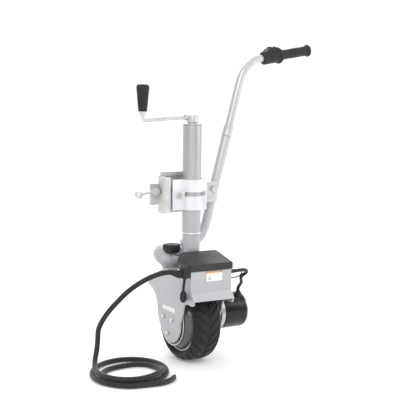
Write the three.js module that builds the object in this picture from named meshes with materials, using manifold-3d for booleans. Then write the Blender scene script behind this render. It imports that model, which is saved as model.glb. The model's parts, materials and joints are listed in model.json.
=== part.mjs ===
// A motor-driven trailer jack wheel: a clamp that bolts to a drawbar holds a telescopic column, and a crank
// on top winds the column out. Below it stand a hooded drive wheel with its motor, a control box with a
// power cable, and a steering handle with a switch.
//
// Millimetres, +Z up. While it is built, the column's axis is X = 0, Y = 0 and the ground is Z = 0. The whole
// group is then moved so that the origin is the middle of the mounting plate's rear face.

import * as THREE from "three";
import { mergeVertices } from "three/addons/utils/BufferGeometryUtils.js";
import Module from "manifold-3d";

const wasm = await Module();
wasm.setup();

// ---- Driving dimensions -------------------------------------------------------------------------------

const GAP = 0.3; // between pieces that touch
const ROUND = 24; // segments of a plain round piece

const CLAMP_Z = 540; // middle of the clamp
const PLATE = { length: 252, height: 68, thick: 6, front: 47 };
const PLATE_BOLT_X = 112;

const OUTER_TUBE = { r: 30, bore: 27.2, bottom: 413, top: 763 };
const INNER_TUBE = { r: 26.8, bore: 23.8, bottom: 300, top: 690 };
const SOCKET = { r: 29, top: 411 };
const LIFT_SCREW_R = 9;

const CRANK = { arm: 180, rod: 6.5, z: 789, drop: 11 };
const CRANK_GRIP = { bottom: 805, top: 890, rBottom: 14, rTop: 20.5 };

const AXLE = { y: 4, z: 130, r: 8.5 };
const TYRE = { r: 130, half: 51, bead: 97, beadHalf: 38 };
const DRUM = { outer: -66, r: 78 };
const GEAR = { ring: 23.5, pinion: 7.5, left: 55, right: 66 };

const LEG = { inner: 69, thick: 5, lobe: 65 };
const BOX = { half: 74, front: -130, top: 312 };
const SHEET = 4;
const DECK = 298;
const LID = { front: -134, rear: -44, half: 77, low: 21, high: 49 };

const DOME = { y: 104, bottom: 290, top: 361 };
const KNOB = { x: -43, y: 52, r: 29.3, bottom: 353, top: 374 };

const MOTOR = { y: AXLE.y, z: AXLE.z + GEAR.ring - GEAR.pinion, r: 58, left: 104, right: 189 };

const HANDLE = { y: 88, lower: 16, upper: 13, wall: 2.6 };
const SPLIT = { x: 185, z: 723 }; // top of the handle's lower tube
const CABLE_R = 8.2;
const CABLE_END_R = 3.2;

// ---- Materials ----------------------------------------------------------------------------------------

const paint = () => new THREE.MeshStandardMaterial({ color: 0xb9bac0, roughness: 0.45, metalness: 0.3 });
const housingPaint = () => new THREE.MeshStandardMaterial({ color: 0xc3c3c8, roughness: 0.5, metalness: 0.2 });
const zinc = () => new THREE.MeshStandardMaterial({ color: 0xc8c8c0, roughness: 0.4, metalness: 0.8 });
const aluminium = () => new THREE.MeshStandardMaterial({ color: 0xdcdce4, roughness: 0.35, metalness: 0.7 });
const steel = () => new THREE.MeshStandardMaterial({ color: 0xa8a8ac, roughness: 0.3, metalness: 0.9 });
const blackPlastic = () => new THREE.MeshStandardMaterial({ color: 0x3a3a3a, roughness: 0.6, metalness: 0 });
const rubber = () => new THREE.MeshStandardMaterial({ color: 0x2b2b2b, roughness: 0.85, metalness: 0 });
const gloss = () => new THREE.MeshStandardMaterial({ color: 0x1c1c1e, roughness: 0.25, metalness: 0.1 });
const paper = () => new THREE.MeshStandardMaterial({ color: 0xf2f2ee, roughness: 0.6, metalness: 0 });

// ---- Geometry helpers ---------------------------------------------------------------------------------

const model = new THREE.Group();

function add(name, geometry, material, parent = model) {
  const mesh = new THREE.Mesh(geometry, material);
  mesh.name = name;
  parent.add(mesh);
  return mesh;
}

// A closed geometry as a manifold solid, and back.
function solid(geometry) {
  const bare = geometry.clone();
  bare.deleteAttribute("normal");
  bare.deleteAttribute("uv");
  const merged = mergeVertices(bare, 1e-4);
  return new wasm.Manifold(
    new wasm.Mesh({
      numProp: 3,
      vertProperties: new Float32Array(merged.attributes.position.array),
      triVerts: new Uint32Array(merged.index.array),
    }),
  );
}

function geometryOf(manifold) {
  const mesh = manifold.getMesh();
  const geometry = new THREE.BufferGeometry();
  geometry.setAttribute("position", new THREE.BufferAttribute(new Float32Array(mesh.vertProperties), 3));
  geometry.setIndex(new THREE.BufferAttribute(new Uint32Array(mesh.triVerts), 1));
  geometry.computeVertexNormals();
  return geometry;
}

function cut(base, ...tools) {
  return geometryOf(tools.reduce((left, tool) => left.subtract(solid(tool)), solid(base)));
}

function join(first, ...others) {
  return geometryOf(others.reduce((all, other) => all.add(solid(other)), solid(first)));
}

function box(x0, x1, y0, y1, z0, z1) {
  const geometry = new THREE.BoxGeometry(x1 - x0, y1 - y0, z1 - z0);
  return geometry.translate((x0 + x1) / 2, (y0 + y1) / 2, (z0 + z1) / 2);
}

// A lathed solid about the Z axis through (x, y); the profile is a list of [radius, z].
function latheZ(profile, x = 0, y = 0, segments = ROUND) {
  const points = profile.map(([r, z]) => new THREE.Vector2(r, z));
  const first = points[0];
  const last = points[points.length - 1];
  if (first.x > 0 || last.x > 0) points.push(first.clone());
  return new THREE.LatheGeometry(points, segments).rotateX(Math.PI / 2).translate(x, y, 0);
}

// The same about an axis along X through (y, z); the profile is a list of [radius, x].
function latheX(profile, y, z, segments = ROUND) {
  return latheZ(profile, 0, 0, segments).rotateY(Math.PI / 2).translate(0, y, z);
}

// The same about an axis along Y through (x, z); the profile is a list of [radius, y].
function latheY(profile, x, z, segments = ROUND) {
  return latheZ(profile, 0, 0, segments).rotateX(-Math.PI / 2).translate(x, 0, z);
}

function disc(r, from, to) {
  return [[0, from], [r, from], [r, to], [0, to]];
}

function pipe(r, bore, from, to) {
  return [[bore, from], [r, from], [r, to], [bore, to]];
}

// A flat outline in the XY plane, raised from z0 to z1.
function raise(shape, z0, z1, curveSegments = 10) {
  const geometry = new THREE.ExtrudeGeometry(shape, { depth: z1 - z0, bevelEnabled: false, curveSegments });
  return geometry.translate(0, 0, z0);
}

// A flat outline drawn as (Y, Z), raised along X from x0 to x1.
function raiseX(shape, x0, x1, curveSegments = 10) {
  const turn = new THREE.Matrix4().set(0, 0, 1, 0, 1, 0, 0, 0, 0, 1, 0, 0, 0, 0, 0, 1);
  return raise(shape, x0, x1, curveSegments).applyMatrix4(turn);
}

function outline(points) {
  return new THREE.Shape(points.map(([a, b]) => new THREE.Vector2(a, b)));
}

// A round rod along a curve.
function rod(curve, r, steps, sides = 12) {
  const section = new THREE.Shape();
  for (let i = 0; i < sides; i++) {
    const angle = (2 * Math.PI * i) / sides;
    const [a, b] = [r * Math.cos(angle), r * Math.sin(angle)];
    if (i) section.lineTo(a, b);
    else section.moveTo(a, b);
  }
  return new THREE.ExtrudeGeometry(section, { steps, bevelEnabled: false, extrudePath: curve });
}

function smooth(points, tension = 0.5) {
  const path = points.map((p) => new THREE.Vector3(...p));
  return new THREE.CatmullRomCurve3(path, false, "centripetal", tension);
}

function straight(a, b) {
  return new THREE.LineCurve3(new THREE.Vector3(...a), new THREE.Vector3(...b));
}

// A hexagonal bolt head with its shank, along Y, with the head's top face at y0.
function hexBoltY(x, z, y0, head, headR, shank, shankR) {
  const top = latheY(disc(headR, y0, y0 + head), x, z, 6);
  return join(top, latheY(disc(shankR, y0 + head - 1, y0 + head + shank), x, z, 16));
}

// ---- Clamp --------------------------------------------------------------------------------------------

const plateRear = PLATE.front + PLATE.thick;
const clampTop = CLAMP_Z + 49;
const clampBottom = CLAMP_Z - 49;
const bracketTop = CLAMP_Z + 60;
const bracketBottom = CLAMP_Z - 60;

function plate() {
  const body = box(
    -PLATE.length / 2,
    PLATE.length / 2,
    PLATE.front,
    plateRear,
    CLAMP_Z - PLATE.height / 2,
    CLAMP_Z + PLATE.height / 2,
  );
  const holes = [-PLATE_BOLT_X, PLATE_BOLT_X].map((x) => latheY(disc(6.8, 40, 60), x, CLAMP_Z + 10, 16));
  return cut(body, ...holes);
}
add("mounting_plate", plate(), zinc());

const STUD = { x: -54, z: CLAMP_Z - 1 };

// The bracket: a folded channel whose left edge is rolled into a barrel, and a half-round seat for the tube.
const BARREL = { x: -92, y: 0, r: 14 };
function rearBracket() {
  const tab = box(-92, 52, 38, PLATE.front - GAP, bracketTop - 2, CLAMP_Z + 72);
  const web = box(-98, 57, 41, PLATE.front - GAP, bracketBottom, bracketTop);
  const leftWall = box(-98, -92, 6, 42, bracketBottom, bracketTop);
  const barrel = latheZ(disc(BARREL.r, bracketBottom + 4, bracketTop - 4), BARREL.x, BARREL.y, 24);
  const rightWall = box(51, 57, 2, 42, CLAMP_Z - 50, CLAMP_Z + 50);
  const leftLug = box(BARREL.x, -30, 1, 7, clampBottom, clampTop);
  const rightLug = box(30, 57, 1, 7, clampBottom, clampTop);
  const seat = latheZ(pipe(36.5, 29, clampBottom, clampTop), 0, 0, 36);
  const front = box(-70, 70, -60, 1, clampBottom - 5, clampTop + 5);
  const rearHalf = cut(seat, front);
  const rib = box(-8, 8, 33, 42, clampBottom, clampTop);
  const all = join(web, tab, leftWall, barrel, rightWall, leftLug, rightLug, rearHalf, rib);
  const tube = latheZ(disc(OUTER_TUBE.r + GAP, bracketBottom - 9, bracketTop + 9), 0, 0, 36);
  const studHole = latheY(disc(6.5, -5, 12), STUD.x, STUD.z, 16);
  return cut(all, tube, studHole);
}
add("rear_bracket", rearBracket(), zinc());

// The front jaw: a half shell round the tube with two lugs and a long slot across its face.
function frontJaw() {
  const shell = cut(
    latheZ(pipe(36.5, 29, clampBottom, clampTop), 0, 0, 36),
    box(-70, 70, -6, 60, clampBottom - 5, clampTop + 5),
  );
  const leftLug = box(-76, -31, -12, -6, clampBottom, clampTop);
  const rightLug = box(31, 50, -12, -6, clampBottom, clampTop);
  const tube = latheZ(disc(OUTER_TUBE.r + GAP, clampBottom - 9, clampTop + 9), 0, 0, 36);
  const slot = box(-33, 44, -60, 0, CLAMP_Z - 4, CLAMP_Z + 9);
  const studHole = latheY(disc(6.5, -20, 0), STUD.x, STUD.z, 16);
  return cut(join(shell, leftLug, rightLug), tube, slot, studHole);
}
add("front_jaw", frontJaw(), aluminium());

add("clamp_stud", latheY(disc(6, -30, 20), STUD.x, STUD.z, 16), steel());
add(
  "clamp_nut",
  cut(latheY(disc(12, -23, -12 - GAP), STUD.x, STUD.z, 6), latheY(disc(6 + GAP, -30, 0), STUD.x, STUD.z, 16)),
  zinc(),
);

for (const [side, x] of [["left", -PLATE_BOLT_X], ["right", PLATE_BOLT_X]]) {
  const headTop = side === "left" ? 26 : 38;
  const shank = 66 - headTop - 8;
  add(`plate_bolt_${side}`, hexBoltY(x, CLAMP_Z + 10, headTop, 8, 12, shank, 6), zinc());
}

// The locking lever turns on the left plate bolt, between its head and the plate.
const LEVER = { x: -PLATE_BOLT_X, z: CLAMP_Z + 10, y: 40.5, end: -170 };
const leverEnd = [LEVER.end + 7, LEVER.y, CLAMP_Z + 2.1];
const leverRod = rod(straight([LEVER.x - 6, LEVER.y, LEVER.z], leverEnd), 4, 2);
add(
  "clamp_lever",
  cut(
    join(latheY(disc(12, 34 + GAP, PLATE.front - GAP), LEVER.x, LEVER.z, 24), leverRod),
    latheY(disc(6 + GAP, 20, 60), LEVER.x, LEVER.z, 16),
  ),
  zinc(),
);
add(
  "lever_ball",
  cut(
    new THREE.SphereGeometry(13, 14, 10).translate(LEVER.end, LEVER.y, CLAMP_Z + 1),
    rod(straight([LEVER.x - 6, LEVER.y, LEVER.z], [LEVER.end + 6, LEVER.y, CLAMP_Z + 2]), 4 + GAP, 2),
  ),
  zinc(),
);

// ---- Column -------------------------------------------------------------------------------------------

const tubeLathe = ({ r, bore, bottom, top }) => latheZ(pipe(r, bore, bottom, top), 0, 0, 36);
add("outer_tube", tubeLathe(OUTER_TUBE), paint());
add(
  "top_cap",
  latheZ([
    [LIFT_SCREW_R + GAP, OUTER_TUBE.top + GAP],
    [OUTER_TUBE.r + 0.6, OUTER_TUBE.top + GAP],
    [OUTER_TUBE.r + 0.6, OUTER_TUBE.top + 5],
    [22, OUTER_TUBE.top + 8.5],
    [LIFT_SCREW_R + GAP, OUTER_TUBE.top + 8.5],
  ]),
  paint(),
);
add("inner_tube", tubeLathe(INNER_TUBE), zinc());
add(
  "lift_nut",
  latheZ(pipe(INNER_TUBE.bore - GAP, LIFT_SCREW_R + GAP, INNER_TUBE.top - 40, INNER_TUBE.top - 4), 0, 0, 24),
  steel(),
);

// ---- Crank --------------------------------------------------------------------------------------------

add(
  "crank_hub",
  latheZ([
    [LIFT_SCREW_R + GAP, OUTER_TUBE.top + 9],
    [19, OUTER_TUBE.top + 9],
    [19, OUTER_TUBE.top + 29],
    [15, OUTER_TUBE.top + 33],
    [LIFT_SCREW_R + GAP, OUTER_TUBE.top + 33],
  ]),
  zinc(),
);
add("lift_screw", latheZ(disc(LIFT_SCREW_R, 440, OUTER_TUBE.top + 31), 0, 0, 16), steel());

function crankArm() {
  const end = -CRANK.arm;
  const path = smooth([
    [-19.5, 0, CRANK.z],
    [-60, 0, CRANK.z - 0.25 * CRANK.drop],
    [end + 30, 0, CRANK.z - 0.85 * CRANK.drop],
    [end + 10, 0, CRANK.z - CRANK.drop + 1],
    [end + 2, 0, CRANK.z - CRANK.drop + 7],
    [end, 0, CRANK.z - CRANK.drop + 15],
    [end, 0, CRANK_GRIP.bottom - 2],
  ]);
  const spindle = latheZ(disc(4.5, CRANK_GRIP.bottom - 6, CRANK_GRIP.top - 8), end, 0, 16);
  const collar = latheX(disc(9.5, -31, -19.5), 0, CRANK.z, 20);
  return join(rod(path, CRANK.rod, 18, 10), spindle, collar);
}
add("crank_arm", crankArm(), zinc());

function crankGrip() {
  const { bottom, top, rBottom, rTop } = CRANK_GRIP;
  const body = latheZ(
    [
      [0, bottom],
      [rBottom - 1.5, bottom],
      [rBottom, bottom + 2],
      [rTop, top - 14],
      [rTop - 2, top - 5],
      [rTop - 9, top],
      [0, top],
    ],
    -CRANK.arm,
    0,
    24,
  );
  return cut(body, latheZ(disc(4.5 + GAP, bottom - 5, top - 7), -CRANK.arm, 0, 16));
}
add("crank_grip", crankGrip(), blackPlastic());

// ---- Wheel --------------------------------------------------------------------------------------------

function tyre() {
  const { r, half, bead, beadHalf } = TYRE;
  return latheX(
    [
      [bead, -beadHalf],
      [bead + 10, -half],
      [r - 12, -half + 3],
      [r - 4, -half + 12],
      [r - 1, -half + 26],
      [r, 0],
      [r - 1, half - 26],
      [r - 4, half - 12],
      [r - 12, half - 3],
      [bead + 10, half],
      [bead, beadHalf],
    ],
    AXLE.y,
    AXLE.z,
    40,
  );
}
add("tyre", tyre(), rubber());

// The rim carries a drum that stands out of the tyre on the left; its hollow right side holds the ring gear.
function rim() {
  const rimR = TYRE.bead - GAP;
  return latheX(
    [
      [AXLE.r + GAP, DRUM.outer + 12],
      [DRUM.r - 10, DRUM.outer + 12],
      [DRUM.r - 8, DRUM.outer],
      [DRUM.r, DRUM.outer],
      [DRUM.r, DRUM.outer + 4],
      [rimR - 4, -TYRE.beadHalf + 1],
      [rimR, -TYRE.beadHalf + 2],
      [rimR, TYRE.beadHalf - 2],
      [rimR - 6, TYRE.beadHalf - 2],
      [rimR - 12, -10],
      [30, -10],
      [30, 30],
      [AXLE.r + GAP, 30],
    ],
    AXLE.y,
    AXLE.z,
    32,
  );
}
add("rim_drum", rim(), gloss());
add(
  "ring_gear",
  latheX(
    [
      [GEAR.ring, GEAR.left],
      [GEAR.ring + 12, GEAR.left],
      [GEAR.ring + 12, GEAR.right],
      [GEAR.ring, GEAR.right],
    ],
    AXLE.y,
    AXLE.z,
    40,
  ),
  steel(),
);
add(
  "gear_carrier",
  latheX(
    [
      [AXLE.r + GAP, 30 + GAP],
      [29, 30 + GAP],
      [GEAR.ring + 12, GEAR.left - 4],
      [GEAR.ring + 12, GEAR.left - GAP],
      [AXLE.r + GAP, GEAR.left - GAP],
    ],
    AXLE.y,
    AXLE.z,
    40,
  ),
  steel(),
);
add("axle", latheX(disc(AXLE.r, -LEG.inner - 4, LEG.inner + 4), AXLE.y, AXLE.z, 20), steel());

// ---- Hood and legs ------------------------------------------------------------------------------------

// The hood is bent sheet between the legs: front face with its lip, box floor and rear wall, deck, rear slope
// and rear lip. Each outline is a list of (Y, Z).
function hood() {
  const wide = LEG.inner - GAP;
  const { front, top, half } = BOX;
  const face = outline([
    [front - 20, 221],
    [front - 16, 228],
    [front - 3, 240],
    [front, 250],
    [front, top],
    [front + SHEET, top],
    [front + SHEET, 250],
    [front + 1, 239],
    [front - 13, 226],
    [front - 17, 220],
  ]);
  const floor = box(-wide, wide, front + 1, LID.rear, 284, 284 + SHEET);
  const rearWall = box(-wide, wide, LID.rear - SHEET, LID.rear, 285, top);
  const deck = outline([
    [LID.rear - 2, DECK],
    [50, DECK],
    [100, DECK - 22],
    [150, 244],
    [161, 228],
    [157, 226],
    [147, 241],
    [98, DECK - 26],
    [49, DECK - SHEET],
    [LID.rear - 2, DECK - SHEET],
  ]);
  return join(raiseX(face, -half, half), floor, rearWall, raiseX(deck, -wide, wide));
}
add("hood", hood(), housingPaint());

// Both legs have the same outline, as (Y, Z): the hood's side above, and a round lobe about the axle below.
function leg(side, holes) {
  const shape = new THREE.Shape();
  const front = BOX.front + SHEET + GAP;
  shape.moveTo(front, BOX.top);
  shape.lineTo(front, 250);
  shape.lineTo(BOX.front + 1.4, 238.6);
  shape.lineTo(BOX.front - 12.6, 225.6);
  shape.lineTo(BOX.front - 17, 219);
  shape.quadraticCurveTo(-148, 205, -134, 206);
  shape.lineTo(-104, 207);
  shape.quadraticCurveTo(-84, 206, -80, 172);
  shape.absarc(0, AXLE.z - 2, LEG.lobe, Math.PI * 0.95, Math.PI * 1.83, false);
  shape.quadraticCurveTo(76, 112, 85, 144);
  shape.quadraticCurveTo(94, 206, 128, 219);
  shape.lineTo(156, 228);
  shape.lineTo(146, 242);
  shape.lineTo(98, DECK - 25);
  shape.lineTo(49, DECK - 1);
  shape.lineTo(LID.rear, DECK - 1);
  shape.lineTo(LID.rear, BOX.top);
  const x0 = side < 0 ? -LEG.inner - LEG.thick : LEG.inner;
  return cut(raiseX(shape, x0, x0 + LEG.thick, 8), ...holes);
}
const axleHole = () => latheX(disc(AXLE.r + GAP, -100, 100), AXLE.y, AXLE.z, 20);
const LEG_BOLT_R = 33;
const LEG_BOLTS = [90, 210, 330].map((deg) => {
  const angle = THREE.MathUtils.degToRad(deg + 180);
  return [AXLE.y + 12 + LEG_BOLT_R * Math.cos(angle), AXLE.z - 6 + LEG_BOLT_R * Math.sin(angle)];
});
const boltHole = ([y, z]) => latheX(disc(4.3, -100, -60), y, z, 12);
add("left_leg", leg(-1, [axleHole(), ...LEG_BOLTS.map(boltHole)]), housingPaint());
const pinionHole = latheX(disc(GEAR.pinion + 4, 60, 100), MOTOR.y, MOTOR.z, 24);
add("right_leg", leg(1, [axleHole(), pinionHole]), housingPaint());

LEG_BOLTS.forEach(([y, z], i) => {
  const faceX = -LEG.inner - LEG.thick - GAP;
  const head = latheX(disc(8, faceX - 5, faceX), y, z, 6);
  const shank = latheX(disc(4, faceX - 1, -LEG.inner + 1.5), y, z, 12);
  add(`leg_bolt_${i + 1}`, join(head, shank), zinc());
});
add("leg_label", box(-LEG.inner - LEG.thick - 0.9, -LEG.inner - LEG.thick - GAP, -32, 50, 164, 178), paper());
add("warning_label", box(-21, 41, BOX.front - 0.9, BOX.front - GAP, 277, 311), paper());

// ---- Control box --------------------------------------------------------------------------------------

function lid() {
  const { front, rear, half, low, high } = LID;
  const z = BOX.top + GAP;
  const side = outline([[front, z], [rear, z], [rear, z + high], [front + 5, z + low + 2], [front, z + low]]);
  const cover = raiseX(side, -half, half);
  const bevel = [-1, 1].map((s) => {
    const edge = s * (half + 0.1);
    const wedge = outline([[edge, z + low - 2], [edge, z + 80], [s * (half - 19), z + 80]]);
    const turn = new THREE.Matrix4().set(1, 0, 0, 0, 0, 0, -1, 0, 0, 1, 0, 0, 0, 0, 0, 1);
    return raise(wedge, -rear - 30, -front + 30).applyMatrix4(turn);
  });
  const hollow = raiseX(
    outline([[front + 5, z - 1], [rear - 5, z - 1], [rear - 5, z + high - 9], [front + 5, z + low - 4]]),
    -half + 16,
    half - 16,
  );
  return cut(cover, ...bevel, hollow);
}
add("control_lid", lid(), blackPlastic());
for (const [i, x] of [-28, 28].entries()) {
  add(`relay_${i + 1}`, latheZ(disc(19, 288.5, 326), x, -86, 20), gloss());
}

// ---- Column socket and rear housing -------------------------------------------------------------------

add(
  "column_socket",
  latheZ(
    [
      [INNER_TUBE.r + GAP, DECK + GAP],
      [42, DECK + GAP],
      [42, DECK + 7],
      [SOCKET.r + 3, DECK + 11],
      [SOCKET.r, DECK + 15],
      [SOCKET.r, SOCKET.top],
      [INNER_TUBE.r + GAP, SOCKET.top],
    ],
    0,
    0,
    36,
  ),
  paint(),
);

function rearHousing() {
  const body = latheZ(
    [
      [0, DOME.bottom - 16],
      [40, DOME.bottom - 16],
      [46, DOME.bottom + 2],
      [65, DOME.bottom + 18],
      [73, DOME.bottom + 33],
      [74, DOME.bottom + 42],
      [70, DOME.bottom + 55],
      [60, DOME.bottom + 66],
      [44, DOME.top],
      [0, DOME.top],
    ],
    0,
    DOME.y,
    30,
  );
  const rise = GAP + 0.2;
  const slope = raiseX(
    outline([
      [20, DECK + rise],
      [50, DECK + rise],
      [100.3, DECK - 22 + rise],
      [150.3, 244 + rise],
      [200, 194],
      [200, 180],
      [20, 180],
    ]),
    -90,
    90,
  );
  const socketRoom = latheZ(disc(SOCKET.r + 2.5, 280, 420), 0, 0, 48);
  const flangeRoom = latheZ(disc(43, 280, DECK + 16), 0, 0, 48);
  const low = KNOB.bottom - 12.5;
  const wide = KNOB.r + 2.5;
  const dish = [[0, low], [13, low], [wide, KNOB.bottom - 0.5], [wide, 400], [0, 400]];
  const knobRoom = latheZ(dish, KNOB.x, KNOB.y, 28);
  return cut(body, slope, socketRoom, flangeRoom, knobRoom);
}
add("rear_housing", rearHousing(), housingPaint());

// The round release knob stands in a dish in the rear housing's left shoulder.
add(
  "release_knob",
  latheZ(
    [
      [0, KNOB.bottom - 12],
      [9, KNOB.bottom - 12],
      [12, KNOB.bottom - 9],
      [KNOB.r - 1.5, KNOB.bottom + 1],
      [KNOB.r, KNOB.bottom + 4],
      [KNOB.r, KNOB.top - 5],
      [KNOB.r - 3, KNOB.top - 1],
      [0, KNOB.top],
    ],
    KNOB.x,
    KNOB.y,
    28,
  ),
  blackPlastic(),
);

// ---- Motor --------------------------------------------------------------------------------------------

add(
  "motor_flange",
  latheX(
    [
      [GEAR.pinion + 4, LEG.inner + LEG.thick + GAP],
      [44, LEG.inner + LEG.thick + GAP],
      [44, MOTOR.left - 16],
      [MOTOR.r + 1, MOTOR.left - 14],
      [MOTOR.r + 1, MOTOR.left - GAP],
      [GEAR.pinion + 4, MOTOR.left - GAP],
    ],
    MOTOR.y,
    MOTOR.z,
    32,
  ),
  aluminium(),
);
add(
  "motor_body",
  latheX(
    [
      [8, MOTOR.left],
      [MOTOR.r, MOTOR.left],
      [MOTOR.r, MOTOR.right - 10],
      [MOTOR.r - 4, MOTOR.right - 3],
      [MOTOR.r - 12, MOTOR.right],
      [8, MOTOR.right],
      [8, MOTOR.right - 6],
      [MOTOR.r - 9, MOTOR.right - 8],
      [MOTOR.r - 7, MOTOR.left + 6],
      [8, MOTOR.left + 6],
    ],
    MOTOR.y,
    MOTOR.z,
    32,
  ),
  gloss(),
);
add(
  "motor_end_cap",
  latheX(
    [
      [8, MOTOR.right + GAP],
      [MOTOR.r - 2, MOTOR.right + GAP],
      [MOTOR.r - 2, MOTOR.right + 5],
      [MOTOR.r - 8, MOTOR.right + 9],
      [22, MOTOR.right + 11],
      [20, MOTOR.right + 15],
      [0, MOTOR.right + 16],
      [0, MOTOR.right + 13],
      [8, MOTOR.right + 13],
    ],
    MOTOR.y,
    MOTOR.z,
    28,
  ),
  aluminium(),
);
add(
  "motor_shaft",
  latheX(
    [
      [0, GEAR.left + 2],
      [GEAR.pinion - 0.6, GEAR.left + 2],
      [GEAR.pinion - 0.6, GEAR.right + 4],
      [7, GEAR.right + 6],
      [7, MOTOR.left + 12],
      [36, MOTOR.left + 14],
      [36, MOTOR.right - 18],
      [7, MOTOR.right - 16],
      [7, MOTOR.right + 13],
      [0, MOTOR.right + 13],
    ],
    MOTOR.y,
    MOTOR.z,
    24,
  ),
  steel(),
);

// ---- Steering handle ----------------------------------------------------------------------------------

// The straight stretch leans outwards by this much for each millimetre of height.
const LEAN = 0.27;
const onLine = (z) => [SPLIT.x + LEAN * (z - SPLIT.z), HANDLE.y, z];
const SLEEVE = { bottom: 600, collarTop: 761 };

// A frame at the top of the lower tube, with +Z along the tube.
const sleeve = new THREE.Group();
sleeve.position.set(SPLIT.x, HANDLE.y, SPLIT.z);
sleeve.rotation.y = Math.atan(LEAN);
model.add(sleeve);

function lowerTube() {
  const foot = [
    [26, 104, DOME.top - 4],
    [28, 104, DOME.top + 7],
    [46, 98, 370],
    [84, HANDLE.y, 384],
    [104, HANDLE.y, 418],
    [119, HANDLE.y, 470],
  ];
  const tube = rod(smooth([...foot, onLine(540), onLine(620), onLine(SPLIT.z)]), HANDLE.lower, 20, 14);
  const bore = rod(straight(onLine(SLEEVE.bottom), onLine(SPLIT.z + 20)), HANDLE.upper + GAP, 1, 16);
  const inside = smooth([...foot, onLine(540), onLine(SLEEVE.bottom + 5)]);
  const hollow = rod(inside, HANDLE.lower - HANDLE.wall, 16, 8);
  return cut(tube, hollow, bore, raise(square(160, [0, DOME.y]), DOME.top - 30, DOME.top + GAP));
}

function square(side, [x, y]) {
  const half = side / 2;
  return outline([[x - half, y - half], [x + half, y - half], [x + half, y + half], [x - half, y + half]]);
}
add("handle_lower_tube", lowerTube(), paint());

const collarTop = (SLEEVE.collarTop - SPLIT.z) * Math.hypot(1, LEAN);
add(
  "handle_collar",
  latheZ([
    [HANDLE.upper + GAP, 2],
    [HANDLE.lower + 1.5, 2],
    [HANDLE.lower + 1.5, 8],
    [HANDLE.lower - 0.5, 11],
    [HANDLE.lower - 0.5, collarTop - 8],
    [HANDLE.lower + 0.5, collarTop - 6],
    [HANDLE.lower + 0.5, collarTop],
    [HANDLE.upper + GAP, collarTop],
  ], 0, 0, 24),
  blackPlastic(),
  sleeve,
);

// The grip's frame: +X runs out along the grip, which starts at its origin.
const GRIP = { x: 403, z: 1007, tilt: 0.18, length: 124, r: 17.5 };
const gripFrame = new THREE.Group();
gripFrame.position.set(GRIP.x, HANDLE.y, GRIP.z);
gripFrame.rotation.y = -Math.atan(GRIP.tilt);
model.add(gripFrame);
const alongGrip = (d) => {
  const scale = 1 / Math.hypot(1, GRIP.tilt);
  return [GRIP.x + d * scale, HANDLE.y, GRIP.z + d * GRIP.tilt * scale];
};

function upperTube() {
  const bend = [[239, HANDLE.y, 919], [253, HANDLE.y, 948], [277, HANDLE.y, 972]];
  const start = onLine(SLEEVE.bottom + 30);
  const path = [start, onLine(700), onLine(800), onLine(870), ...bend, alongGrip(-104), alongGrip(-76)];
  const outer = smooth([...path, alongGrip(-20), alongGrip(GRIP.length - 6)]);
  return cut(rod(outer, HANDLE.upper, 26, 12), rod(outer, HANDLE.upper - HANDLE.wall, 26, 8));
}
add("handle_upper_tube", upperTube(), paint());

// A round body round the tube with a raised block for the rocker.
const SWITCH = { from: -78, to: -4, r: 23 };
const ROCKER = { x: -33, well: 13.8, low: 21 };
const tubeRoom = () => rod(straight([-200, 0, 0], [200, 0, 0]), HANDLE.upper + 0.8, 1, 24);
function switchHousing() {
  const shell = latheX(
    [
      [0, SWITCH.from],
      [SWITCH.r - 5, SWITCH.from],
      [SWITCH.r, SWITCH.from + 6],
      [SWITCH.r, SWITCH.to - 10],
      [SWITCH.r + 5, SWITCH.to - 6],
      [SWITCH.r + 5, SWITCH.to],
      [0, SWITCH.to],
    ],
    0,
    0,
    28,
  );
  const side = outline([
    [SWITCH.from, 0],
    [SWITCH.to - 2, 0],
    [SWITCH.to - 2, 20],
    [SWITCH.to - 8, 28],
    [SWITCH.to - 13, 31],
    [SWITCH.from + 29, 31],
    [SWITCH.from, 8],
  ]);
  const block = raise(side, -15, 15).applyMatrix4(new THREE.Matrix4().makeRotationX(Math.PI / 2));
  const well = box(ROCKER.x - ROCKER.well, ROCKER.x + ROCKER.well, -9, 9, ROCKER.low, 40);
  return cut(join(shell, block), tubeRoom(), well);
}
add("switch_housing", switchHousing(), blackPlastic(), gripFrame);

function rocker() {
  const shape = outline([
    [-11.6, 29],
    [-12.3, 35.5],
    [-9, 36.5],
    [0, 32],
    [9, 35],
    [12.3, 34],
    [11.6, 28],
    [5, 23],
    [-5, 23],
  ]);
  const turn = new THREE.Matrix4().makeRotationX(Math.PI / 2);
  return raise(shape, -8.4, 8.4).applyMatrix4(turn).translate(ROCKER.x, 0, 0);
}
add("rocker_switch", rocker(), blackPlastic(), gripFrame);

function handleGrip() {
  const { length, r } = GRIP;
  const body = latheX(
    [
      [0, 0],
      [r + 5, 0],
      [r + 5, 4],
      [r, 8],
      [r - 1, 30],
      [r, 60],
      [r - 1, 95],
      [r, length - 9],
      [r + 4, length - 5],
      [r + 3, length],
      [0, length + 2],
    ],
    0,
    0,
    28,
  );
  return cut(body, rod(straight([-20, 0, 0], [length - 5, 0, 0]), HANDLE.upper + 0.8, 1, 24));
}
add("handle_grip", handleGrip(), rubber(), gripFrame);

// ---- Leads held by the object -------------------------------------------------------------------------

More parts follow.
